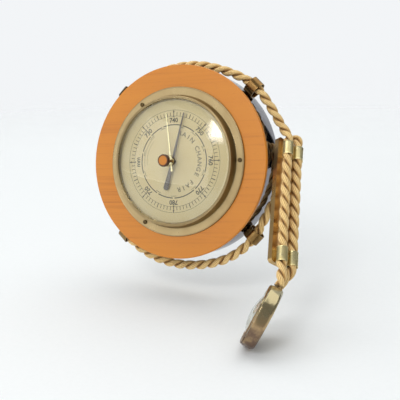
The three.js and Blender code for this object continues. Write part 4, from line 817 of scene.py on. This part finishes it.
def build_dial():
    """Dial: a flat disc, printed with a track of one-unit ticks, numbers each 45 degrees, an inner
    circle with gaps at its marks, two plain arcs and three weather words."""
    face = eased(disc_profile(DIAL_R, DIAL_BACK, DIAL_FRONT, DIAL_HOLE_R), 0.1)
    piece("dial_face", [turned(face, BAROMETER, 160)], "champagne_dial", "barometer",
          ["dial"])
    bars = [bar for radius in TRACK_RADII for bar in circle_bars(radius, 0.12)]
    marks = (-20, 15, 40, 70, 110, 140, 180, 210, 250, 285, 315)
    for a, b in zip(marks, (*marks[1:], marks[0] + 360)):
        bars += circle_bars(BAND_R, 0.42, a + 1.5, b - 1.5, (b - a - 3) / 8)
        bars += circle_bars(MARK_R, 0.18, a - 5, a + 5, 2.5)
    for i in range(TICKS):
        a = 360 / TICKS * i
        start, end, half = TEN_TICK if i % 10 == 0 else FIVE_TICK if i % 5 == 0 else ONE_TICK
        bars.append((clock(start, a), clock(end, a), half))
        if i % 10 == 0:
            bars += [(clock(r, a - 1.2), clock(r, a + 1.2), 0.26) for r in TEN_CROSSBAR_RADII]
    numbers = zip(("740", "750", "760", "770", "780", "720", "mm", "730"), range(0, 360, 45))
    words = [(number, LETTER_H, *clock(NUMBER_R, a), -a) for number, a in numbers]
    weather = [letter for word, middle in (("RAIN", 30), ("CHANGE", 91), ("FAIR", 152))
               for letter in arc_word(word, WEATHER_R, middle, LETTER_H, LETTER_PITCH)]
    arcs = circle_bars(29, 0.14, 262, 320, 2) + circle_bars(26.6, 0.1, 264, 312, 2)
    printing("weather_print", arcs, weather, BAROMETER, DIAL_FRONT, INK_T, "barometer",
             "faint_ink")
    printing("dial_print", bars, words, BAROMETER, DIAL_FRONT, INK_T, "barometer")


def clip_oval(inset):
    """A clip's oval moved inwards by an inset, with the part that would enter the drum cut flat."""
    middle, out, across = CLIP_REACH - CLIP_HALF_OUT, CLIP_HALF_OUT - inset, CLIP_HALF_ACROSS - inset
    flat = math.acos((0.3 + inset - middle) / out)
    a = np.linspace(-flat, flat, 48)
    return np.stack([middle + out * np.cos(a), across * np.sin(a)], -1)


def build_clips():
    """Rope clips: a flat band with rounded edges carried round a closed loop."""
    half = CLIP_W / 2
    section = eased([(0, -half), (CLIP_WALL, -half), (CLIP_WALL, half), (0, half)], 0.3, 4)
    for name, angle in CLIP_ANGLES.items():
        rows = [at_height(clip_oval(inset), z) for inset, z in section]
        out, up, along = on_circle(1, angle), np.array([0, 0, 1]), on_circle(1, angle - 90)
        seat = np.eye(4)
        seat[:3, :3] = np.stack([out, up, along], -1)
        seat[:3, 3] = on_circle(DRUM_R, angle, RING_Z)
        piece(f"clip_band_{name}", [(to_row(np.stack(rows), BAROMETER @ seat), True, True)], "handled_brass",
              "barometer", [f"rope_clip_{name}"])


# The rope's way round the drum, as (angle, distance from the drum, height on the axis)
RING_ROUTE = [
    (17.4, 11.6, 11.4), (21.5, 10.2, 11.9), (27, 9.4, 12.5), (34, 9.0, 12.9),
    (45, 9.4, 13), (56, 7.1, 13), (68, 5.1, 13), (82, 4.8, 13), (97, 4.8, 13), (111, 5.1, 13),
    (123, 7.1, 13), (135, 9.4, 13), (148, 7.6, 13), (163, 6.0, 13), (180, 5.6, 13),
    (197, 6.0, 13), (212, 7.6, 13), (225, 9.4, 13), (238, 9.8, 13), (252, 9.5, 13),
    (266, 9.3, 13), (280, 9.7, 13), (293, 10.6, 13), (304, 10.4, 13), (315, 9.4, 13),
    (322, 7.0, 12.4), (330, 5.2, 10.6), (340, 5.1, 7.9), (350, 5.2, 5.1), (358, 5.2, 2.7),
]


def tail_points(side):
    """The tail of one rope: a cubic from the bar to the hygrometer's mouth, whose offset from the
    middle line turns from the bar's width to the hygrometer's."""
    t = np.linspace(0, 1, 9)[:, None]
    reach = TAIL_END[1] - ROPE_BOTTOM
    ease, leave, arrive = 2 * t**3 - 3 * t**2 + 1, t**3 - 2 * t**2 + t, t**3 - t**2
    centre = (ease * np.array([0, ROPE_BOTTOM, 0]) + leave * np.array([0, reach, 0])
              + (1 - ease) * TAIL_END + arrive * HYGRO_AXES[:, 1] * reach)
    blend = t * t * (3 - 2 * t)
    offset = (1 - blend) * np.array([ROPE_SPACING / 2, 0, 0]) - blend * HYGRO_AXES[:, 0] * TAIL_SPACING / 2
    return centre + side * offset


def strap_points(side):
    """One rope down the strap, from just below the fold to the hygrometer."""
    x = side * ROPE_SPACING / 2
    straight = [(x, -4.6, 0), (x, ROPE_BOTTOM * 0.35, 0), (x, ROPE_BOTTOM * 0.7, 0), (x, ROPE_BOTTOM + 4, 0)]
    return np.concatenate([straight, tail_points(side)])


def ring_points():
    """The rope round the drum, from the fold's front side, and to its back side over a loop, whose
    arc is squared: the cube of its rise plus the cube of its lean is constant."""
    side = ROPE_SPACING / 2
    first = [(-side, 0, 0), (-side, 2.6, 0)]
    angle = np.pi * (1 - np.linspace(0, 1, 7))
    up, lean = np.abs(np.sin(angle)) ** (2 / LOOP_SQUARE), np.abs(np.cos(angle)) ** (2 / LOOP_SQUARE)
    drop = LOOP_R * (np.sign(np.cos(angle)) * lean - 1)
    loop = np.stack([np.full(len(angle), side), LOOP_R * up, drop], -1)
    last = np.concatenate([[(side, -3, -2 * LOOP_R)], loop])
    angles, off, z = np.array(RING_ROUTE, float).T
    route = to_row(on_circle(DRUM_R + off, angles, z), BAROMETER)
    return np.concatenate([to_row(np.array(first, float), STRAP), route, to_row(last, STRAP)])


def smooth_line(points, fine=24):
    """A centripetal Catmull-Rom line: each span is a cubic whose end slopes come from its
    neighbours, spaced by the square root of their distances."""
    ends = np.concatenate([[2 * points[0] - points[1]], points, [2 * points[-1] - points[-2]]])
    gaps = np.sqrt(np.linalg.norm(np.diff(ends, axis=0), axis=1))[:, None]
    p0, p1, p2, p3 = ends[:-3], ends[1:-2], ends[2:-1], ends[3:]
    d0, d1, d2 = gaps[:-2], gaps[1:-1], gaps[2:]
    m1 = ((p1 - p0) / d0 - (p2 - p0) / (d0 + d1) + (p2 - p1) / d1) * d1
    m2 = ((p2 - p1) / d1 - (p3 - p1) / (d1 + d2) + (p3 - p2) / d2) * d1
    t = np.linspace(0, 1, fine, endpoint=False)[:, None, None]
    spans = ((2 * t**3 - 3 * t**2 + 1) * p1 + (t**3 - 2 * t**2 + t) * m1
             + (3 * t**2 - 2 * t**3) * p2 + (t**3 - t**2) * m2)
    return np.concatenate([spans.transpose(1, 0, 2).reshape(-1, 3), points[-1:]])


def carried_frames(line):
    """Two unit vectors square to a line at each point, carried along it without twist: each step
    turns them by the least turn that takes one tangent to the next."""
    tangent = np.gradient(line, axis=0)
    tangent /= np.linalg.norm(tangent, axis=1, keepdims=True)
    across = np.empty_like(line)
    start = np.cross(tangent[0], (0, 0, 1.0))
    across[0] = start / np.linalg.norm(start)
    for i in range(1, len(line)):
        moved = across[i - 1] - tangent[i] * (across[i - 1] @ tangent[i])
        across[i] = moved / np.linalg.norm(moved)
    return across, np.cross(tangent, across)


def laid_strands(line, across, over, length, start, end, lay, rope_r, sides=28):
    """Two plump strands of a rope: each runs on a left-handed helix round the line, its section an
    oval a little wider than it is deep, with both ends drawn in to a point. Also each point's crown:
    1 on the rope's outside, 0 where a strand faces the rope's middle."""
    rows = slice(start, end + 1)
    s = length[rows]
    strand_r = helix_r = 0.5 * rope_r
    theta = np.linspace(0, 2 * np.pi, sides, endpoint=False)
    grids, uvs, crowns = [], [], []
    for k in range(2):
        phase = 2 * np.pi * (k / 2 - s / lay)
        out = across[rows] * np.cos(phase)[:, None] + over[rows] * np.sin(phase)[:, None]
        side = over[rows] * np.cos(phase)[:, None] - across[rows] * np.sin(phase)[:, None]
        centre = line[rows] + out * helix_r
        deep, wide = np.cos(theta)[None, :, None], STRAND_PLUMPNESS * np.sin(theta)[None, :, None]
        ring = centre[:, None] + strand_r * (deep * out[:, None] + wide * side[:, None])
        tip = np.repeat(centre[:, None], sides, axis=1)
        grids.append((np.concatenate([tip[:1], ring, tip[-1:]]), False, True))
        along = np.concatenate([s[:1], s, s[-1:]]) / lay
        uvs.append(lambda r, c, along=along: np.stack([
            np.stack(np.broadcast_arrays((c + i) / sides - YARN_TWIST * along[r + j], along[r + j]), -1)
            for i, j in ((0, 0), (1, 0), (1, 1), (0, 1))], -2).reshape(-1, 2))
        crowns.append(np.tile(0.5 + 0.5 * np.cos(theta), len(s) + 2))
    return grids, uvs, np.concatenate(crowns)


def build_ropes(sizes):
    """The rope: one line up the strap, round the drum, over the loop and down the strap again, cut
    into three pieces just above the fold."""
    front = to_row(strap_points(-1), STRAP)[::-1]
    back = to_row(strap_points(1), STRAP)
    whole = np.concatenate([front, ring_points(), back])
    fine = smooth_line(whole)
    run = np.concatenate([[0], np.cumsum(np.linalg.norm(np.diff(fine, axis=0), axis=1))])
    step, lay = sizes.rope_step * MM, sizes.rope_lay * MM
    length = np.linspace(0, run[-1], int(run[-1] / step))
    line = np.stack([np.interp(length, run, fine[:, i]) for i in range(3)], -1)
    across, over = carried_frames(line)
    above, below = to_row(np.array([[0, BEND_ABOVE, 0], [0, -BEND_BELOW, 0]]), STRAP)
    up = (above - below) / np.linalg.norm(above - below)
    folds = [to_row(np.array([[side * ROPE_SPACING / 2, 0, 0]]), STRAP)[0] for side in (-1, 1)]
    at_fold = [int(np.argmin(np.linalg.norm(line - fold, axis=1))) for fold in folds]
    is_above = (line - above) @ up > 0
    cuts = [at_fold[0] + int(np.argmax(is_above[at_fold[0]:])),
            at_fold[1] - int(np.argmax(is_above[at_fold[1]::-1]))]
    spans = {"rope_front_laid": (0, cuts[0], None, "rope_front"),
             "rope_ring_laid": (cuts[0], cuts[1], "barometer", "rope_ring"),
             "rope_back_laid": (cuts[1], len(line) - 1, None, "rope_back")}
    for name, (start, end, body, cad) in spans.items():
        grids, uvs, crowns = laid_strands(line, across, over, length, start, end, lay, ROPE_R * MM)
        rope = piece(name, grids, "laid_hemp", body, [cad], uvs, sharp=80, crowns=crowns)
        if body is None:
            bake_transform(rope)


def build_bar():
    """Thermometer bar: a pressed tray with rounded edges, its scale plate, glass and spirit."""
    middle = BAR_PAST_FOLD - BAR_L / 2
    front = BAR_BACK - BAR_T
    wall = eased([(BAR_W / 2, BAR_BACK), (0, BAR_BACK), (0, front), (BAR_WALL, front),
                  (BAR_WALL, BAR_BACK - BAR_WALL), (BAR_W / 2, BAR_BACK - BAR_WALL)],
                 [0, 0.7, 0.3, 0.3, 0.4, 0], 5)
    piece("bar_tray", [tray(wall, BAR_W, BAR_L, BAR_CORNER_R, STRAP, (0, middle, 0))], "bar_brass", "strap",
          ["thermometer_case"])
    back = BAR_BACK - BAR_WALL - SCALE_GAP
    width, length = BAR_W - SCALE_INSET, BAR_L - SCALE_INSET
    top = back - SCALE_T
    sheet = eased([(width / 2, back), (0, back), (0, top), (width / 2, top)], [0, 0.1, 0.1, 0])
    plate = piece("scale_sheet", [tray(sheet, width, length, BAR_CORNER_R - BAR_WALL, STRAP, (0, middle, 0))],
                  "champagne_dial", "strap", ["scale_plate"])
    holes = [round_cutter(STRAP, (x, -y, 0), disc_profile(LEG_HOLE_R, back - 3, back + 3))
             for x in (-LEG_X, LEG_X) for y in (GLASS_START + LEG_INSET, GLASS_START + GLASS_L - LEG_INSET)]
    carve(plate, holes)
    face = turned_frame(STRAP, (0, 0, top), (0, 180, 0))
    bars, words = [], []
    for i in range(61):
        y = -(GLASS_START + SCALE_START + i * SCALE_PITCH)
        long = 5.4 if i % 10 == 0 else 4.2 if i % 5 == 0 else 3.4
        bars += [((side * 2.3, y), (side * long, y), 0.09) for side in (-1, 1)]
        if i % 10 == 0:
            words += [(str(i - 10), 3.0, side * 8.2, y, 180) for side in (-1, 1)]
    printing("scale_print", bars, words, face, 0, FINE_INK_T, "strap")
    z = top - 0.3 - BULB_R
    along = turned_frame(STRAP, (0, -GLASS_START, z), (90, 0, 0))
    glass = eased(disc_profile(GLASS_R, 0, GLASS_L, GLASS_BORE_R), 0.15)
    piece("glass_tube", [turned(glass, along, 32)], "tube_glass", "strap",
          ["thermometer_tube"])


def build_ferrules():
    """Ferrules: thin drawn tube, pinched close to the rope, its two mouths burred over."""
    burr = FERRULE_R + 0.12
    outline = eased([(FERRULE_BORE_R, 0), (burr, 0), (burr, 0.5), (FERRULE_R, 1.1),
                     (FERRULE_R, FERRULE_L - 1.1), (burr, FERRULE_L - 0.5), (burr, FERRULE_L),
                     (FERRULE_BORE_R, FERRULE_L)], 0.3)
    for end, start in (("top", FERRULE_TOP), ("bottom", FERRULE_TOP + FERRULE_PITCH)):
        for side, x in (("front", -1), ("back", 1)):
            seat = turned_frame(STRAP, (x * ROPE_SPACING / 2, -start, 0), (90, 0, 0))
            piece(f"ferrule_tube_{end}_{side}", [turned(outline, seat, 72)], "ferrule_brass", "strap",
                  [f"ferrule_{end}_{side}"])


def build_hygrometer():
    """Hygrometer: a pressed cup with a mouth for the ropes, a rolled bezel, a dome and a dial."""
    a = np.radians(np.linspace(-90, 0, 12))
    middle = np.array([HYGRO_R - HYGRO_CORNER, HYGRO_BACK + HYGRO_CORNER])
    edge = middle + HYGRO_CORNER * np.stack([np.cos(a), np.sin(a)], -1)
    inside, within = HYGRO_BACK + 0.9, HYGRO_R - HYGRO_WALL
    rim = [(HYGRO_R, HYGRO_FRONT - 0.8), (HYGRO_R - 0.3, HYGRO_FRONT), (within, HYGRO_FRONT)]
    bottom = [(within, inside + 1.8), (within - 1.8, inside), (0, inside)]
    outline = np.concatenate([[(0, HYGRO_BACK)], edge, rim, bottom])
    cup = piece("hygrometer_cup", [turned(outline, HYGROMETER, 160)], "tarnished_brass", "hygrometer",
                ["hygrometer_case"])
    mouth = ROPE_R + 0.3
    a = np.radians(np.linspace(-90, 90, 16))
    right = np.stack([TAIL_SPACING / 2 + mouth * np.cos(a), mouth * np.sin(a)], -1)
    loop = np.concatenate([right, -right])
    rows = np.stack([np.column_stack([loop[:, 0] * k, np.full(len(loop), y), loop[:, 1] * k])
                     for k, y in ((0, HYGRO_R - 6), (1, HYGRO_R - 6), (1, HYGRO_R + 2), (0, HYGRO_R + 2))])
    cutter = piece("cutter", [(to_row(rows, HYGROMETER), False, True)], "plain_steel", None)
    carve(cup, [cutter])
    foot, top = HYGRO_FRONT + 0.3, HYGRO_FRONT + 0.3 + HYGRO_BEZEL_T
    ring = [(HYGRO_R - 0.5, foot), (HYGRO_R - 0.2, foot + 0.3), (HYGRO_R - 1.5, top),
            (HYGRO_SIGHT_R + 0.8, top + 0.2), (HYGRO_SIGHT_R, top - 0.4), (HYGRO_SIGHT_R, foot)]
    piece("hygrometer_ring", [turned(eased(ring, 0.4), HYGROMETER, 160)], "tarnished_brass", "hygrometer",
          ["hygrometer_bezel"])
    rim, under = HYGRO_SIGHT_R - 0.5, HYGRO_FRONT - HYGRO_CRYSTAL_T
    dome = np.concatenate([cap(rim - 0.4, under, HYGRO_DOME, 0, 16)[::-1],
                           [(HYGRO_SIGHT_R + 1.8, under), (HYGRO_SIGHT_R + 1.8, HYGRO_FRONT)],
                           cap(rim, HYGRO_FRONT, HYGRO_DOME, 0, 16)])
    piece("hygrometer_dome", [turned(dome, HYGROMETER, 96)], "hygrometer_glass", "hygrometer",
          ["hygrometer_crystal"], sharp=50)
    bars = circle_bars(HYGRO_TRACK_R, 0.08, -HYGRO_SWEEP, HYGRO_SWEEP, 4)
    words = [("%", 3.4, 0, -9, 0)]
    for i in range(51):
        angle = -HYGRO_SWEEP + HYGRO_SWEEP / 25 * i
        start, half = (15.6, 0.14) if i % 5 == 0 else (16.6, 0.07)
        bars.append((clock(start, angle), clock(HYGRO_TRACK_R, angle), half))
        if i % 10 == 0:
            words.append((str(2 * i), 3.0, *clock(HYGRO_NUMBER_R, angle), -angle))
    printing("hygrometer_print", bars, words, HYGROMETER, HYGRO_DIAL_Z + SCALE_T, FINE_INK_T, "hygrometer")


CARRIED_FINISHES = {
    "plain_steel": ["instrument_case", "panel_screw_1", "panel_screw_2", "panel_screw_3", "knife_edge",
                    "main_lever", "hand_arbor", "arbor_chain"],
    "turned_brass": ["movement_base", "aneroid_capsule", "spring_yoke", "lower_bridge", "upper_bridge",
                     "adjusting_screw", "rocker_shaft", "humidity_coil"],
    "blued_steel": ["main_spring", "hairspring", "humidity_hand"],
    "blackened_steel": ["pressure_hand"],
    "bright_brass": ["set_hand"],
    "lacquered_brass": ["tube_clip_1", "tube_clip_2"],
    "handled_brass": [f"clip_screw_{name}" for name in CLIP_ANGLES],
    "champagne_dial": ["hygrometer_dial"],
    "red_spirit": ["thermometer_spirit"],
}


def finish_solids():
    """Gives the carried-over solids their own finish."""
    for name, nodes in CARRIED_FINISHES.items():
        for cad in nodes:
            bpy.data.objects[cad].data.materials.clear()
            bpy.data.objects[cad].data.materials.append(finishes()[name])


def softbox(name, at, toward, size, power, colour, shape="RECTANGLE"):
    """A flat lamp, in metres and watts, that faces a point and that the camera doesn't see."""
    lamp = bpy.data.lights.new(name, "AREA")
    lamp.shape, lamp.size, lamp.size_y, lamp.energy, lamp.color = shape, size[0], size[1], power, colour
    holder = bpy.data.objects.new(name, lamp)
    direction = Matrix.Translation(toward).to_translation() - Matrix.Translation(at).to_translation()
    holder.location = at
    holder.rotation_euler = direction.to_track_quat("-Z", "Y").to_euler()
    holder.visible_camera = False
    bpy.context.scene.collection.objects.link(holder)


def dark_card(at, toward, size):
    """A black velvet card, in metres, that faces a point: polished metal shows it as a dark stripe."""
    facing = np.array(toward, float) - at
    facing /= np.linalg.norm(facing)
    across = np.cross((0, 0, 1.0), facing)
    across /= np.linalg.norm(across)
    up = np.cross(facing, across)
    corners = [np.array(at) + across * size[0] * i / 2 + up * size[1] * j / 2
               for i, j in ((-1, -1), (1, -1), (1, 1), (-1, 1))]
    mesh = bpy.data.meshes.new("black_card")
    mesh.from_pydata([tuple(c) for c in corners], [], [(0, 1, 2, 3)])
    mesh.materials.append(studio_paper("black_velvet", "#0b0b0c"))
    return mesh


def build_stage():
    """A sheet of paper that runs from the floor up behind the object, soft lamps and the camera."""
    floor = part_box("hygrometer_case")[0][2]
    bend = np.radians(np.linspace(-90, 0, 24))
    wall = PAPER_REACH + PAPER_TURN_R
    y = np.concatenate([[PAPER_NEAR], PAPER_REACH + PAPER_TURN_R * np.cos(bend), [wall]])
    z = np.concatenate([[0.0], PAPER_TURN_R + PAPER_TURN_R * np.sin(bend), [PAPER_HEIGHT]])
    x = np.array([-PAPER_HALF_W, PAPER_HALF_W])
    grid = np.stack(np.broadcast_arrays(x[None, :], y[:, None], z[:, None] + floor - FLOOR_GAP), -1)
    mesh = bpy.data.meshes.new("seamless_backdrop")
    faces = [(2 * i, 2 * i + 1, 2 * i + 3, 2 * i + 2) for i in range(len(y) - 1)]
    mesh.from_pydata(grid.reshape(-1, 3).tolist(), [], faces)
    mesh.shade_smooth()
    mesh.materials.append(seamless_paper("#eceff0"))
    backdrop = bpy.data.objects.new("seamless_backdrop", mesh)
    bpy.context.scene.collection.objects.link(backdrop)

    card = bpy.data.objects.new("black_card", dark_card(CARD_AT, CARD_TOWARD, CARD_SIZE))
    bpy.context.scene.collection.objects.link(card)
    card.visible_camera = card.visible_diffuse = card.visible_shadow = card.visible_transmission = False

    camera = bpy.data.cameras.new("camera")
    camera.lens, camera.sensor_width, camera.clip_start = CAMERA_LENS, SENSOR_WIDTH, 0.01
    holder = bpy.data.objects.new("camera", camera)
    holder.location = CAMERA_AT
    holder.rotation_euler = [math.radians(a) for a in CAMERA_TURN]
    bpy.context.scene.collection.objects.link(holder)
    bpy.context.scene.camera = holder

    x, y, z = WINDOW_AT
    for i, width in enumerate(WINDOW_WIDTHS):
        softbox(f"window_{i + 1}", (x, y + WINDOW_STEP * i, z), GLARE_AT, (width, WINDOW_ASPECT * width),
                WINDOW_POWER, (1, 0.99, 0.985), "ELLIPSE" if i < 2 else "RECTANGLE")
    for name, (at, toward, size, power, colour) in WALL_LAMPS.items():
        softbox(name, at, toward, size, power, colour)
    world = bpy.data.worlds.new("studio")
    world.use_nodes = True
    background = world.node_tree.nodes["Background"]
    background.inputs["Color"].default_value = WORLD_COLOUR
    seen = node(world.node_tree, "LightPath").outputs["Is Camera Ray"]
    strength = node(world.node_tree, "MapRange", {"To Min": WORLD_LIGHT, "To Max": WORLD_SEEN},
                    {"Value": seen}).outputs[0]
    world.node_tree.links.new(strength, background.inputs["Strength"])
    bpy.context.scene.world = world
    bpy.context.scene.view_settings.view_transform = "Standard"


class BarometerSizes(bpy.types.PropertyGroup):
    """Sizes of the surface detail that a user would change."""

    rope_lay: FloatProperty(name="Rope lay", description="Length of one turn of a strand, mm",
                            default=22.3, min=10)
    rope_step: FloatProperty(name="Rope step", description="Distance between a strand's sections, mm",
                             default=1.1, min=0.4)


class BarometerFinish(bpy.types.PropertyGroup):
    """Base colours of the main finishes."""

    wood: FloatVectorProperty(name="Wood stain", description="Stain of the wooden face", subtype="COLOR",
                              default=srgb("#ce7e17")[:3])
    brass: FloatVectorProperty(name="Brass", description="Lacquered brass of the bezel", subtype="COLOR",
                               default=srgb("#a6936d")[:3])
    aged_brass: FloatVectorProperty(name="Aged brass", description="Brass of the rope's clips",
                                    subtype="COLOR", default=srgb("#93774a")[:3])
    dial: FloatVectorProperty(name="Dial paint", description="Champagne paint of the dials", subtype="COLOR",
                              default=srgb("#dbc79d")[:3])
    rope: FloatVectorProperty(name="Rope", description="Straw colour of the rope", subtype="COLOR",
                              default=srgb("#efca88")[:3])


class BAROMETER_OT_case(bpy.types.Operator):
    """Build the drum, the wooden face and the back"""

    bl_idname = "barometer.case"
    bl_label = "Case"

    def execute(self, context):
        build_drum()
        build_wooden_face()
        build_back()
        return {"FINISHED"}


class BAROMETER_OT_front(bpy.types.Operator):
    """Build the bezel, the glass, the dial and the set knob"""

    bl_idname = "barometer.front"
    bl_label = "Front"

    def execute(self, context):
        build_bezel()
        build_glass()
        build_dial()
        build_knob()
        return {"FINISHED"}


class BAROMETER_OT_rope(bpy.types.Operator):
    """Build the laid rope and its clips"""

    bl_idname = "barometer.rope"
    bl_label = "Rope and clips"

    def execute(self, context):
        build_ropes(context.scene.barometer_sizes)
        build_clips()
        return {"FINISHED"}


class BAROMETER_OT_bar(bpy.types.Operator):
    """Build the thermometer bar and its ferrules"""

    bl_idname = "barometer.bar"
    bl_label = "Thermometer bar"

    def execute(self, context):
        build_bar()
        build_ferrules()
        return {"FINISHED"}


class BAROMETER_OT_hygrometer(bpy.types.Operator):
    """Build the hygrometer"""

    bl_idname = "barometer.hygrometer"
    bl_label = "Hygrometer"

    def execute(self, context):
        build_hygrometer()
        return {"FINISHED"}


class BAROMETER_OT_solids(bpy.types.Operator):
    """Give the movement and the other carried-over solids their finishes"""

    bl_idname = "barometer.solids"
    bl_label = "Movement finishes"

    def execute(self, context):
        finish_solids()
        return {"FINISHED"}


class BAROMETER_OT_stage(bpy.types.Operator):
    """Set up the paper, lamps and camera"""

    bl_idname = "barometer.stage"
    bl_label = "Stage"

    def execute(self, context):
        build_stage()
        return {"FINISHED"}


OPERATORS = (BAROMETER_OT_stage, BAROMETER_OT_rope, BAROMETER_OT_case, BAROMETER_OT_front, BAROMETER_OT_bar,
             BAROMETER_OT_hygrometer, BAROMETER_OT_solids)


class BAROMETER_PT_panel(bpy.types.Panel):
    """Sizes, colours and the steps of the build"""

    bl_idname = "BAROMETER_PT_panel"
    bl_label = "Barometer"
    bl_space_type = "VIEW_3D"
    bl_region_type = "UI"
    bl_category = "Barometer"

    def draw(self, context):
        for group in (context.scene.barometer_sizes, context.scene.barometer_finish):
            for name in group.__annotations__:
                self.layout.prop(group, name)
        for operator in OPERATORS:
            self.layout.operator(operator.bl_idname)


CLASSES = (BarometerSizes, BarometerFinish, *OPERATORS, BAROMETER_PT_panel)


def register():
    """Registers the classes and hangs the settings on the scene."""
    for each in CLASSES:
        bpy.utils.register_class(each)
    bpy.types.Scene.barometer_sizes = PointerProperty(type=BarometerSizes)
    bpy.types.Scene.barometer_finish = PointerProperty(type=BarometerFinish)


def unregister():
    """Takes the settings and the classes away again."""
    del bpy.types.Scene.barometer_finish
    del bpy.types.Scene.barometer_sizes
    for each in reversed(CLASSES):
        bpy.utils.unregister_class(each)


def main():
    """Registers the add-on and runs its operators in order."""
    register()
    for operator in OPERATORS:
        getattr(bpy.ops.barometer, operator.bl_idname.split(".")[1])()


if __name__ == "__main__":
    main()
